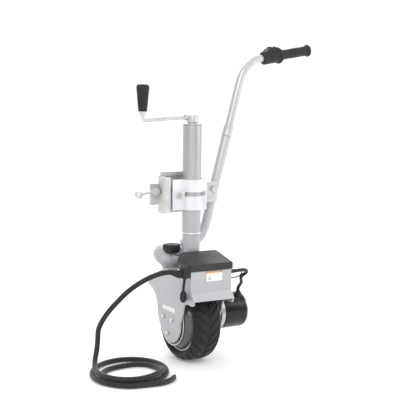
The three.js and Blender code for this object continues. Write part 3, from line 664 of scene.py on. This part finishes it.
class JACKWHEEL_OT_power_cable(bpy.types.Operator):
    """Build the woven power cable, its strain relief and its terminal"""

    bl_idname = "jack_wheel.power_cable"
    bl_label = "Power cable"

    def execute(self, context):
        radius = context.scene.jack_wheel_sizes.cable_radius
        line = cable_line(radius)
        cable = skin("power_cable_sleeve", tube_grid(line, radius, 16), uv_scale=0.0045, crease=70)
        fit(cable, "wheel_unit", "sleeve", "cable_rubber", "power_cable", "cable_coil")
        ribs = lambda a, r, h: 0.0009 * np.sin(h * 2 * math.pi / 0.0052) * (h < 0.026) * (h > 0.003)
        boot = [
            (8.6, 0), (12.5, 0), (12.3, 4), (11.8, 8), (11.2, 12), (10.7, 16), (10.2, 20), (9.6, 25),
            (8.6, 28), (8.6, 0),
        ]
        slope = line[6] - line[0]
        relief = lathe("cable_boot", boot, line[0], slope, 40, 0.0008, ribs)
        fit(relief, "wheel_unit", "black plastic", "black_plastic")
        terminal = lathe(
            "cable_end",
            [
                (0, 0), (8.1, 0), (8.3, 3), (8.2, 9), (5.8, 13), (4.6, 16), (5.0, 18), (4.2, 20),
                (3.8, 24), (3.4, 31), (0, 32),
            ],
            spot(*TERMINAL_PLACE), (math.cos(TERMINAL_TURN), math.sin(TERMINAL_TURN), 0), 32,
        )
        fit(terminal, "wheel_unit", "black plastic", "cable_rubber", "cable_terminal")
        return {"FINISHED"}


# ---- Wheel ----


TYRE_HALF_WIDTH = 0.0515
TREAD_RADIUS = 0.112


def tyre_relief(blocks, depth):
    """Depth cut from the tyre at (angle, across): V grooves, a zigzag middle groove and side notches.

    A groove is a smooth step of a repeating wave: w = angle * blocks + slant * |across|, cut where the
    wave is near its low point.
    """

    def relief(a, r, h):
        x = h / TYRE_HALF_WIDTH
        tread = np.clip((r - TREAD_RADIUS) / 0.008, 0, 1)
        phase = a * blocks / (2 * math.pi) + 1.5 * np.abs(x)
        wave = np.abs((phase % 1) - 0.5) * 2
        cross = np.clip((wave - 0.66) / 0.16, 0, 1)
        zig = 0.05 * (np.abs(((a * blocks / (2 * math.pi)) % 1) - 0.5) * 4 - 1)
        centre = np.clip(1 - np.abs(x - zig) / 0.075, 0, 1) ** 0.5
        shoulder = np.clip(1 - np.abs(np.abs(x) - 0.62) / 0.05, 0, 1) ** 0.5
        cut = np.maximum(np.maximum(cross, centre * 0.9), shoulder * 0.6)
        return -depth * cut * tread

    return relief


class JACKWHEEL_OT_wheel(bpy.types.Operator):
    """Build the treaded tyre and the ringed rim"""

    bl_idname = "jack_wheel.wheel"
    bl_label = "Wheel"

    def execute(self, context):
        sizes = context.scene.jack_wheel_sizes
        axle = middle("tyre")
        half = np.array(
            [
                (97, 38), (98.5, 41), (101, 44.5), (104, 47.5), (107, 49.8), (110, 50.6), (113, 50.2),
                (116.5, 48.2), (120, 45), (123.5, 41), (126, 36), (128, 29), (129.2, 21), (129.8, 11),
                (130, 0),
            ],
            dtype=float,
        )
        mirrored = half[::-1][1:] * [1, -1]
        profile = evenly(np.concatenate([half, mirrored, half[:1]]) / 1000, 116)
        relief = tyre_relief(sizes.tread_blocks, sizes.tread_depth)
        grid = turned(profile, axle, (1, 0, 0), 600, relief)
        tyre = skin("treaded_tyre", grid, crease=55)
        fit(tyre, "wheel", "tyre", "tyre_rubber", "tyre")
        rim = lathe(
            "ringed_rim",
            [
                (8.9, -54), (30, -54), (34, -56), (62, -54), (68, -54.5), (70, -65), (73, -66),
                (78, -66), (78, -62), (76.5, -60), (80, -56), (84, -51), (86, -50.5), (90, -44),
                (93, -38), (96.4, -37.5), (96.7, -36), (96.7, 36), (91, 36), (85, -10), (30, -10),
                (30, 30), (8.9, 30), (8.9, -54),
            ],
            axle, (1, 0, 0), 128, 0.0014,
        )
        fit(rim, "wheel", "rim", "rim_plastic", "rim_drum")
        # Thin rings at the rim's bead and drum edge: the edges are real, and their near-white finish paints
        # the highlight arcs they catch.
        for name, radius, place in (("bead_ring", 95.4, -39.6), ("drum_ring", 75.8, -66.2)):
            ring = lathe(
                name,
                [
                    (radius, place - 0.9), (radius + 1.6, place - 0.6), (radius + 1.6, place + 0.8),
                    (radius - 1.2, place + 0.8), (radius - 1.2, place - 0.6), (radius, place - 0.9),
                ],
                axle, (1, 0, 0), 128, 0.0006,
            )
            fit(ring, "wheel", "bright ring", "steel")
        return {"FINISHED"}


# ---- Crank ----


ARM_HEIGHT = 789
ARM_END = -180


class JACKWHEEL_OT_crank(bpy.types.Operator):
    """Build the crank arm and its fluted grip"""

    bl_idname = "jack_wheel.crank"
    bl_label = "Crank"

    def execute(self, context):
        sizes = context.scene.jack_wheel_sizes
        end = ARM_END
        arm = tube(
            "crank_bar",
            route(
                (-19.5, 0, ARM_HEIGHT), (-60, 0, 786.2), (-110, 0, 782.6), (end + 30, 0, 779.6),
                (end + 12, 0, 779), (end + 3.5, 0, 783), (end, 0, 791), (end, 0, 803),
            ),
            0.0065, 60, 24,
        )
        fit(arm, "crank", "zinc", "zinc", "crank_arm")
        disc = [(0, 798), (10, 798), (10, 803.5), (0, 803.5)]
        collar = lathe("crank_collar", disc, spot(end, 0, 0), steps=40)
        fit(collar, "crank", "zinc", "zinc")
        stub = [(0, -31), (8.7, -31), (9.5, -30), (9.5, -19), (0, -19)]
        root = lathe("crank_root", stub, spot(0, 0, ARM_HEIGHT), (1, 0, 0), 40)
        fit(root, "crank", "zinc", "zinc")
        low, high = corners("crank_grip")
        height = (high[2] - low[2]) * 1000
        r_top = (high[0] - low[0]) * 500
        shape = [
            (0, 0), (r_top * 0.60, 0), (r_top * 0.66, 1.5), (r_top * 0.70, 5), (r_top * 0.70, 9),
            (r_top * 0.74, 12), (r_top * 0.86, height * 0.5), (r_top * 0.985, height - 14),
            (r_top, height - 10), (r_top * 0.98, height - 6), (r_top * 0.82, height - 1.2),
            (r_top * 0.5, height), (0, height),
        ]
        profile = finely(shape, 8)

        def flutes(a, r, h):
            zone = np.clip((h - 0.013) / 0.006, 0, 1)
            zone *= np.clip((height / 1000 - 0.017 - h) / 0.006, 0, 1)
            return -sizes.flute_depth * zone * (0.5 + 0.5 * np.cos(a * sizes.grip_flutes)) ** 2

        base = np.array([middle("crank_grip")[0], FOOT[1], low[2]])
        grid = turned(eased(profile, 0.0004, 2), base, (0, 0, 1), 140, flutes)
        grip = skin("fluted_grip", grid, crease=60)
        fit(grip, "crank_grip", "grip", "black_plastic", "crank_grip")
        hub = finished("crank_hub", 0.0012)
        fit(hub, "crank", "zinc", "zinc")
        return {"FINISHED"}


# ---- Column and clamp ----


class JACKWHEEL_OT_column(bpy.types.Operator):
    """Build the column's outer tube, its lip, its cap and its socket"""

    bl_idname = "jack_wheel.column"
    bl_label = "Column"

    def execute(self, context):
        low, high = corners("outer_tube")
        r = (high[0] - low[0]) * 500
        z0, z1 = (low[2] - FOOT[2]) * 1000, (high[2] - FOOT[2]) * 1000
        inside = r - 3
        walls = [(r, z0), (r, z1), (inside, z1), (inside, z0), (r, z0)]
        tube_piece = lathe("column_outer", walls, FOOT, steps=128, ease=0.0008)
        fit(tube_piece, "outer_column", "column paint", "column_paint", "outer_tube")
        # A bead at the tube's lower end: real, in a near-white finish that paints the highlight band it
        # catches.
        bead = [
            (r - 1, z0 - 0.1), (r + 0.7, z0 + 0.6), (r + 0.9, z0 + 2.2), (r + 0.7, z0 + 4),
            (r - 1, z0 + 4.6), (r - 1, z0 - 0.1),
        ]
        lip = lathe("column_lip", bead, FOOT, steps=128, ease=0.0006)
        fit(lip, "outer_column", "bright ring", "zinc")
        fit(finished("top_cap", 0.0015), "outer_column", "column paint", "column_paint")
        fit(finished("column_socket", 0.0008), "wheel_unit", "column paint", "column_paint")
        return {"FINISHED"}


class JACKWHEEL_OT_clamp(bpy.types.Operator):
    """Build the clamp: plate, folded bracket, jaw, bolts, nut and locking lever"""

    bl_idname = "jack_wheel.clamp"
    bl_label = "Clamp"

    def execute(self, context):
        for node, body, look, slot, width in (
            ("mounting_plate", "clamp", "zinc", "zinc", 0.0012),
            ("rear_bracket", "clamp", "zinc", "zinc", 0.0012),
            ("plate_bolt_left", "clamp", "zinc", "zinc", 0.0005),
            ("plate_bolt_right", "clamp", "zinc", "zinc", 0.0005),
            ("front_jaw", "jaw", "jaw", "jaw_metal", 0.0014),
            ("clamp_stud", "jaw", "steel", "steel", 0.0004),
            ("clamp_nut", "nut", "zinc", "zinc", 0.0008),
            ("clamp_lever", "lever", "zinc", "zinc", 0.0006),
        ):
            fit(finished(node, width), body, look, slot)
        centre = middle("lever_ball")
        low, high = corners("lever_ball")
        r = (high[2] - low[2]) * 500
        a = np.linspace(0, math.pi, 33)
        profile = np.stack([r * np.sin(a), -r * np.cos(a)], axis=1) / 1000
        ball = skin("lever_knob", turned(profile, centre, (1, 0, 0), 48), crease=180)
        fit(ball, "lever", "zinc", "zinc", "lever_ball")
        return {"FINISHED"}


# ---- Hood, control box and rear housing ----


class JACKWHEEL_OT_housing(bpy.types.Operator):
    """Build the hood, legs, control box lid and its screws, the rear housing, the power gland and the leg
    bolts
    """

    bl_idname = "jack_wheel.housing"
    bl_label = "Housing"

    def execute(self, context):
        for node, look, slot, width in (
            ("hood", "housing paint", "housing_paint", 0.0010),
            ("left_leg", "housing paint", "housing_paint", 0.0012),
            ("right_leg", "housing paint", "housing_paint", 0.0012),
            ("control_lid", "lid plastic", "black_plastic", 0.0016),
            ("rear_housing", "dome plastic", "dome_plastic", 0.0008),
            ("power_gland", "black plastic", "black_plastic", 0.0016),
            ("leg_bolt_1", "zinc", "zinc", 0.0006),
            ("leg_bolt_2", "zinc", "zinc", 0.0006),
            ("leg_bolt_3", "zinc", "zinc", 0.0006),
        ):
            fit(finished(node, width), "wheel_unit", look, slot)
        low, high = corners("control_lid")
        for index, share in enumerate((0.18, 0.50, 0.82)):
            place = np.array([low[0], low[1] + (high[1] - low[1]) * share, low[2] + 0.0075])
            head = lathe(
                f"lid_screw_{index + 1}",
                [(0, -1.4), (0.9, -1.4), (1.0, -0.7), (1.8, -1.2), (2.3, -0.7), (2.4, 0.4), (0, 0.4)],
                place, (1, 0, 0), 24, 0.0003,
            )
            fit(head, "wheel_unit", "zinc", "zinc")
        return {"FINISHED"}


class JACKWHEEL_OT_release_knob(bpy.types.Operator):
    """Build the round release knob with its scalloped edge"""

    bl_idname = "jack_wheel.release_knob"
    bl_label = "Release knob"

    def execute(self, context):
        centre = np.array([*middle("release_knob")[:2], FOOT[2]])
        dial = [
            (0, 341), (9, 341), (12, 344), (20, 349), (27.4, 353.6), (29, 356.5), (29.2, 360),
            (29.2, 367), (28.2, 370.6), (25.4, 373.4), (21, 374), (19.6, 373.2), (8, 372.6), (7, 371.4),
            (0, 371.4),
        ]

        def scallops(a, r, h):
            edge = np.clip((h - 0.355) / 0.002, 0, 1) * np.clip((0.372 - h) / 0.002, 0, 1) * (r > 0.024)
            return -0.0011 * edge * (0.5 + 0.5 * np.cos(a * 20)) ** 3

        knob = lathe("release_dial", dial, centre, (0, 0, 1), 160, 0.0016, scallops, 50)
        fit(knob, "release_knob", "black plastic", "black_plastic", "release_knob")
        return {"FINISHED"}


# ---- Motor ----


# How far the end cap's screws stand in from the can, in millimetres, and lie under its face, in metres.
SCREW_INSET = 17
SCREW_SINK = 0.0052


class JACKWHEEL_OT_motor(bpy.types.Operator):
    """Build the side motor, its flange, end cap and cable gland"""

    bl_idname = "jack_wheel.motor"
    bl_label = "Motor"

    def execute(self, context):
        low, high = corners("motor_body")
        centre = np.array([FOOT[0], (low[1] + high[1]) / 2, (low[2] + high[2]) / 2])
        left, right = (low[0] - FOOT[0]) * 1000, (high[0] - FOOT[0]) * 1000
        r = (high[2] - low[2]) * 500
        can = lathe(
            "motor_can",
            [
                (0, left), (r - 1.5, left), (r - 1.5, left + 3), (r, left + 4), (r, right - 16),
                (r - 0.7, right - 15.2), (r - 0.7, right - 14.2), (r, right - 13.4), (r, right - 2),
                (r - 2, right), (0, right),
            ],
            centre, (1, 0, 0), 128, 0.0012,
        )
        fit(can, "wheel_unit", "motor", "motor_paint", "motor_body")
        fit(finished("motor_flange", 0.0010), "wheel_unit", "machined", "flange_metal")
        fit(finished("motor_end_cap", 0.0014), "wheel_unit", "machined", "flange_metal")
        fit(finished("motor_gland", 0.0008), "wheel_unit", "black plastic", "black_plastic")
        gland_top = np.array([*middle("motor_gland")[:2], corners("motor_gland")[1][2]])
        nut = lathe(
            "gland_ring",
            [(9.2, -12.5), (11.4, -12), (11.4, -8.4), (9.2, -7.8), (9.2, -12.5)],
            gland_top,
            steps=48,
            ease=0.0006,
        )
        fit(nut, "wheel_unit", "machined", "flange_metal")
        for index in range(4):
            a = math.radians(45 + 90 * index)
            place = centre + np.array([0, math.cos(a), math.sin(a)]) * (r - SCREW_INSET) / 1000
            place[0] = corners("motor_end_cap")[1][0] - SCREW_SINK
            head = lathe(
                f"motor_screw_{index + 1}",
                [(0, -0.5), (1.4, -0.5), (1.6, -1.4), (3.4, -0.6), (3.8, -2.2), (0, -2.2)],
                place, (1, 0, 0), 20, 0.0003,
            )
            fit(head, "wheel_unit", "zinc", "zinc")
        return {"FINISHED"}


# ---- Steering handle ----

# LEAN is millimetres right for one up on the straight stretch, TILT millimetres up for one right on the
# grip. The collar and the grip's inner end are placed from the column's foot.
LEAN = 0.27
TILT = 0.18
HANDLE_BACK = 88
COLLAR_RIGHT, COLLAR_HEIGHT = 185, 723
GRIP_RIGHT, GRIP_HEIGHT = 403, 1007


def on_lean(z):
    """A place on the handle's straight stretch at that height."""
    return (COLLAR_RIGHT + LEAN * (z - COLLAR_HEIGHT), HANDLE_BACK, z)


def along_grip(d):
    """A place on the grip's own line, d millimetres out from its inner end."""
    scale = 1 / math.hypot(1, TILT)
    return (GRIP_RIGHT + d * scale, HANDLE_BACK, GRIP_HEIGHT + d * TILT * scale)


class JACKWHEEL_OT_steering_handle(bpy.types.Operator):
    """Build the steering handle's tubes, switch housing and ribbed grip"""

    bl_idname = "jack_wheel.steering_handle"
    bl_label = "Steering handle"

    def execute(self, context):
        foot = [(28, 104, 361), (31, 103, 364), (48, 97, 371), (84, 88, 384), (104, 88, 418), (119, 88, 470)]
        straight = map(on_lean, (540, 620, COLLAR_HEIGHT))
        lower = tube("handle_lower", route(*foot, *straight), 0.016, 120, 40)
        fit(lower, "wheel_unit", "handle paint", "handle_paint", "handle_lower_tube")
        bend = [(239, 88, 919), (253, 88, 948), (277, 88, 972)]
        straight = map(on_lean, (632, 720, 800, 870))
        level = map(along_grip, (-104, -76, -20, 116))
        upper = tube("handle_upper", route(*straight, *bend, *level), 0.013, 160, 40)
        fit(upper, "handle", "handle paint", "handle_paint", "handle_upper_tube")
        along = np.array([LEAN, 0, 1]) / math.hypot(1, LEAN)
        collar = lathe(
            "handle_ferrule",
            [
                (13.3, 1.5), (17.2, 1.5), (17.2, 8), (16.2, 10), (16.0, 20), (16.0, 31), (16.6, 33),
                (16.6, 38), (13.3, 39), (13.3, 1.5),
            ],
            spot(*on_lean(COLLAR_HEIGHT)), along, 72, 0.0009,
        )
        fit(collar, "wheel_unit", "handle paint", "handle_paint", "handle_collar")
        fit(finished("switch_housing", 0.0016), "handle", "black plastic", "black_plastic")
        fit(finished("rocker_switch", 0.0008), "rocker", "relay", "black_plastic")
        out = np.array([1, 0, TILT]) / math.hypot(1, TILT)
        shape = [
            (13.9, 0.2), (21.8, 0.2), (22.4, 1.5), (22.4, 3), (21.6, 4.2), (17.6, 7.5), (16.9, 30),
            (17.4, 58), (16.9, 90), (17.5, 114), (21.2, 118.5), (21.4, 121), (20.4, 124), (11, 125.6),
            (0, 126),
        ]
        profile = finely(shape, 21)

        def ribs(a, r, h):
            zone = np.clip((h - 0.012) / 0.004, 0, 1) * np.clip((0.110 - h) / 0.004, 0, 1)
            rings = np.abs(((h / 0.0062) % 1) - 0.5) * 2
            flutes = (0.5 + 0.5 * np.cos(a * 16)) ** 2
            return -0.0009 * zone * np.maximum(np.clip((rings - 0.6) / 0.25, 0, 1), 0.5 * flutes)

        grid = turned(profile / 1000, spot(*along_grip(0)), out, 112, ribs)
        grip = skin("ribbed_grip", grid, crease=60)
        fit(grip, "handle", "grip", "grip_rubber", "handle_grip")
        return {"FINISHED"}


# ---- Leads ----


class JACKWHEEL_OT_leads(bpy.types.Operator):
    """Build the motor lead, fuse lead and fuse holder, release cable and the thin loops at the box"""

    bl_idname = "jack_wheel.leads"
    bl_label = "Leads"

    def execute(self, context):
        motor_lead = tube(
            "motor_lead_sleeve",
            route(
                (75, -117, 299), (88, -117, 300), (120, -116, 302), (142, -111, 298), (149, -102, 289),
                (143, -92, 280), (142, -83, 272), (152, -68, 260), (166, -48, 246), (172, -30, 234),
                (172, -20, 222), (172, -20, 212.3),
            ),
            0.0058, 90, 20,
        )
        fit(motor_lead, "wheel_unit", "lead", "cable_rubber", "motor_lead")
        thin = tube(
            "box_lead_loop",
            route(
                (75, -104, 301), (92, -104, 303), (122, -100, 300), (136, -94, 288), (124, -96, 278),
                (96, -102, 277), (75, -104, 277),
            ),
            0.0021, 80, 12,
        )
        fit(thin, "wheel_unit", "lead", "cable_rubber")
        fuse_lead = tube(
            "fuse_lead_wire",
            route(
                (-90, -117, 293.8), (-90, -117, 288), (-88, -108, 264), (-87, -105, 254),
                (-87, -105, 249.2),
            ),
            0.0045, 24, 16,
        )
        fit(fuse_lead, "wheel_unit", "lead", "cable_rubber", "fuse_lead")
        fuse = lathe(
            "fuse_cartridge",
            [
                (0, 215), (5, 215), (6.2, 216), (8.2, 219.5), (10.8, 222), (11, 224), (11, 230),
                (9.9, 231), (9.9, 233), (11, 234), (11, 240), (8.2, 244), (7.8, 249), (0, 249),
            ],
            spot(-87, -105, 0), (0, 0, 1), 48, 0.0008,
        )
        fit(fuse, "wheel_unit", "relay", "black_plastic", "fuse_holder")
        release = tube(
            "release_cable",
            route(
                (-54, 38, 338), (-58, 29, 342), (-63, 12, 347), (-64, -12, 349), (-62, -32, 349),
                (-62, -43, 349),
            ),
            0.0032, 50, 14,
        )
        fit(release, "wheel_unit", "lead", "cable_rubber", "knob_cable")
        return {"FINISHED"}


# ---- Carried nodes ----

# Frame nodes whose finish isn't the one of their record slot.
CARRIED = {
    "inner_tube": "zinc",
    "lift_nut": "steel",
    "lift_screw": "steel",
    "axle": "steel",
    "ring_gear": "steel",
    "gear_carrier": "steel",
    "motor_shaft": "steel",
    "relay_1": "relay",
    "relay_2": "relay",
    "leg_label": "leg label",
    "warning_label": "front label",
}


class JACKWHEEL_OT_carried_parts(bpy.types.Operator):
    """Give every frame node that still shows its own finish"""

    bl_idname = "jack_wheel.carried_parts"
    bl_label = "Carried parts"

    def execute(self, context):
        by_slot = {part["node"]: part["material_slot"] for part in frame["record"]["subparts"]}
        by_look = {
            "jaw_metal": "jaw",
            "flange_metal": "machined",
            "relay_plastic": "relay",
            "rim_plastic": "rim",
            "motor_paint": "motor",
            "tyre_rubber": "tyre",
            "grip_rubber": "grip",
            "cable_rubber": "lead",
            "label_paper": "front label",
        }
        for node, piece in frame["nodes"].items():
            slot_name = by_slot[node]
            look = by_look.get(slot_name, slot_name.replace("_", " "))
            material = finish(CARRIED.get(node, look))
            if not piece.material_slots:
                piece.data.materials.append(material)
            for slot in piece.material_slots:
                slot.material = material
        return {"FINISHED"}


# ---- Stage ----


CAMERA_PLACE = (-1457, -2499, 817)
CAMERA_LENS = 80.8
CAMERA_SHIFT = -0.08
# How far the camera looks to the right, dips under level and leans, in degrees.
CAMERA_TURN, CAMERA_DIP, CAMERA_LEAN = 30.76, 3.79, 0.73


# The floor in metres: its half width, and where along the view and how sharply it starts to rise.
FLOOR_HALF = 45
RISE_START = 2.6
RISE = 0.30


class JACKWHEEL_OT_stage(bpy.types.Operator):
    """Set up the camera, the pale floor and the soft lights"""

    bl_idname = "jack_wheel.stage"
    bl_label = "Stage"

    def execute(self, context):
        scene = context.scene
        lens = bpy.data.cameras.new("view")
        lens.sensor_width = 36
        lens.lens = CAMERA_LENS
        lens.clip_end = 60
        camera = bpy.data.objects.new("view", lens)
        scene.collection.objects.link(camera)
        lens.shift_y = CAMERA_SHIFT
        camera.location = spot(*CAMERA_PLACE)
        turn = Matrix.Rotation(math.radians(-CAMERA_TURN), 3, "Z")
        dip = Matrix.Rotation(math.radians(90 - CAMERA_DIP), 3, "X")
        lean = Matrix.Rotation(math.radians(CAMERA_LEAN), 3, "Z")
        camera.rotation_euler = (turn @ dip @ lean).to_euler()
        scene.camera = camera
        self.add_floor()
        self.add_lights(scene)
        scene.view_settings.view_transform = "Standard"
        scene.view_settings.look = "None"
        return {"FINISHED"}

    def add_floor(self):
        """A wide floor that curves up far behind: z = k (d - d0)^2 past d0, along the view."""
        across = np.linspace(-FLOOR_HALF, FLOOR_HALF, 3)
        away = np.concatenate([[-FLOOR_HALF, -20], np.linspace(-6, 7, 60)])
        rise = np.clip(away - RISE_START, 0, None) ** 2 * RISE
        facing = np.array([0.5, 0.866])
        side = np.array([0.866, -0.5])
        plan = FOOT[:2] + away[:, None, None] * facing + across[None, :, None] * side
        heights = np.broadcast_to((FOOT[2] - 0.0006 + rise)[:, None, None], plan.shape[:2] + (1,))
        floor = skin("floor", np.concatenate([plan, heights], axis=2), around=False, crease=180)
        shape = floor.data
        if shape.polygons[0].normal.z < 0:
            shape.flip_normals()
        n = Nodes("pale_floor", Roughness=0.9, Specular_IOR_Level=0.1, Emission_Strength=0.16)
        n.shader.inputs["Emission Color"].default_value = (1, 1, 1, 1)
        cloud = n.noise(n.placed(), 1.2, 3)
        tone = n.ramp(cloud, (0.3, (0.875, 0.875, 0.88)), (0.7, (0.90, 0.90, 0.90)))
        floor.data.materials.append(n.finish(tone, None, n.bump(n.noise(n.placed(), 300, 2), 0.0002, 0.05)))

    def add_lights(self, scene):
        """A room of soft bands all round that is white overhead, and three large lamps."""
        world = bpy.data.worlds.new("studio")
        world.use_nodes = True
        n = Tree(world.node_tree)
        background = n.tree.nodes["Background"]
        background.inputs["Strength"].default_value = 1.0
        coords = n.put("ShaderNodeTexCoord")
        turn = n.put("ShaderNodeMapping", in_Rotation=(0, 0, math.radians(30)))
        split = n.put("ShaderNodeSeparateXYZ")
        bands = n.put("ShaderNodeValToRGB")
        bands.color_ramp.interpolation = "EASE"
        bands.color_ramp.elements[0].color = (0.42, 0.42, 0.43, 1)
        bands.color_ramp.elements[1].color = (0.5, 0.5, 0.5, 1)
        for place, grey in ((0.16, 0.30), (0.36, 1.0), (0.62, 1.0), (0.86, 0.34)):
            stop = bands.color_ramp.elements.new(place)
            stop.color = (grey, grey, grey * 1.01, 1)
        half = n.put("ShaderNodeMath", operation="MULTIPLY_ADD")
        half.inputs[1].default_value = 0.5
        half.inputs[2].default_value = 0.5
        sky = n.put("ShaderNodeMapRange", in_From_Min=0.35, in_From_Max=0.8)
        blend = n.put("ShaderNodeMix", data_type="RGBA")
        blend.inputs[7].default_value = (1.0, 1.0, 1.0, 1)
        for a, b in (
            (coords.outputs["Generated"], turn.inputs["Vector"]),
            (turn.outputs["Vector"], split.inputs["Vector"]),
            (split.outputs["X"], half.inputs[0]),
            (half.outputs["Value"], bands.inputs["Fac"]),
            (split.outputs["Z"], sky.inputs["Value"]),
            (sky.outputs["Result"], blend.inputs["Factor"]),
            (bands.outputs["Color"], blend.inputs[6]),
            (blend.outputs[2], background.inputs["Color"]),
        ):
            n.link(a, b)
        scene.world = world
        target = Vector(spot(0, 0, 450))
        for name, place, power, width in (
            ("key", (-1900, -2300, 2700), 46, 1.8),
            ("fill", (2600, -1600, 1700), 30, 2.0),
            ("rear", (900, 2200, 2300), 34, 1.8),
        ):
            lamp = bpy.data.lights.new(name, "AREA")
            lamp.energy = power
            lamp.size = width
            light = bpy.data.objects.new(name, lamp)
            light.location = spot(*place)
            light.rotation_euler = (target - light.location).to_track_quat("-Z", "Y").to_euler()
            scene.collection.objects.link(light)


# ---- Panel and registration ----

OPERATORS = (
    JACKWHEEL_OT_stage,
    JACKWHEEL_OT_power_cable,
    JACKWHEEL_OT_wheel,
    JACKWHEEL_OT_column,
    JACKWHEEL_OT_clamp,
    JACKWHEEL_OT_crank,
    JACKWHEEL_OT_housing,
    JACKWHEEL_OT_release_knob,
    JACKWHEEL_OT_motor,
    JACKWHEEL_OT_steering_handle,
    JACKWHEEL_OT_leads,
    JACKWHEEL_OT_carried_parts,
)


class JACKWHEEL_PT_panel(bpy.types.Panel):
    """Lists the settings and one button for each group of pieces"""

    bl_idname = "JACKWHEEL_PT_panel"
    bl_label = "Trailer Jack Wheel"
    bl_space_type = "VIEW_3D"
    bl_region_type = "UI"
    bl_category = "Jack Wheel"

    def draw(self, context):
        for group in (context.scene.jack_wheel_sizes, context.scene.jack_wheel_look):
            box = self.layout.box()
            for key in group.__annotations__:
                box.prop(group, key)
        for operator in OPERATORS:
            self.layout.operator(operator.bl_idname)


CLASSES = (JackWheelLook, JackWheelSizes, *OPERATORS, JACKWHEEL_PT_panel)


def register():
    for cls in CLASSES:
        bpy.utils.register_class(cls)
    bpy.types.Scene.jack_wheel_look = bpy.props.PointerProperty(type=JackWheelLook)
    bpy.types.Scene.jack_wheel_sizes = bpy.props.PointerProperty(type=JackWheelSizes)


def unregister():
    del bpy.types.Scene.jack_wheel_sizes
    del bpy.types.Scene.jack_wheel_look
    for cls in reversed(CLASSES):
        bpy.utils.unregister_class(cls)


def main():
    """Builds everything in order."""
    register()
    for operator in OPERATORS:
        group, name = operator.bl_idname.split(".")
        getattr(getattr(bpy.ops, group), name)()
    bpy.context.view_layer.update()


if __name__ == "__main__":
    main()
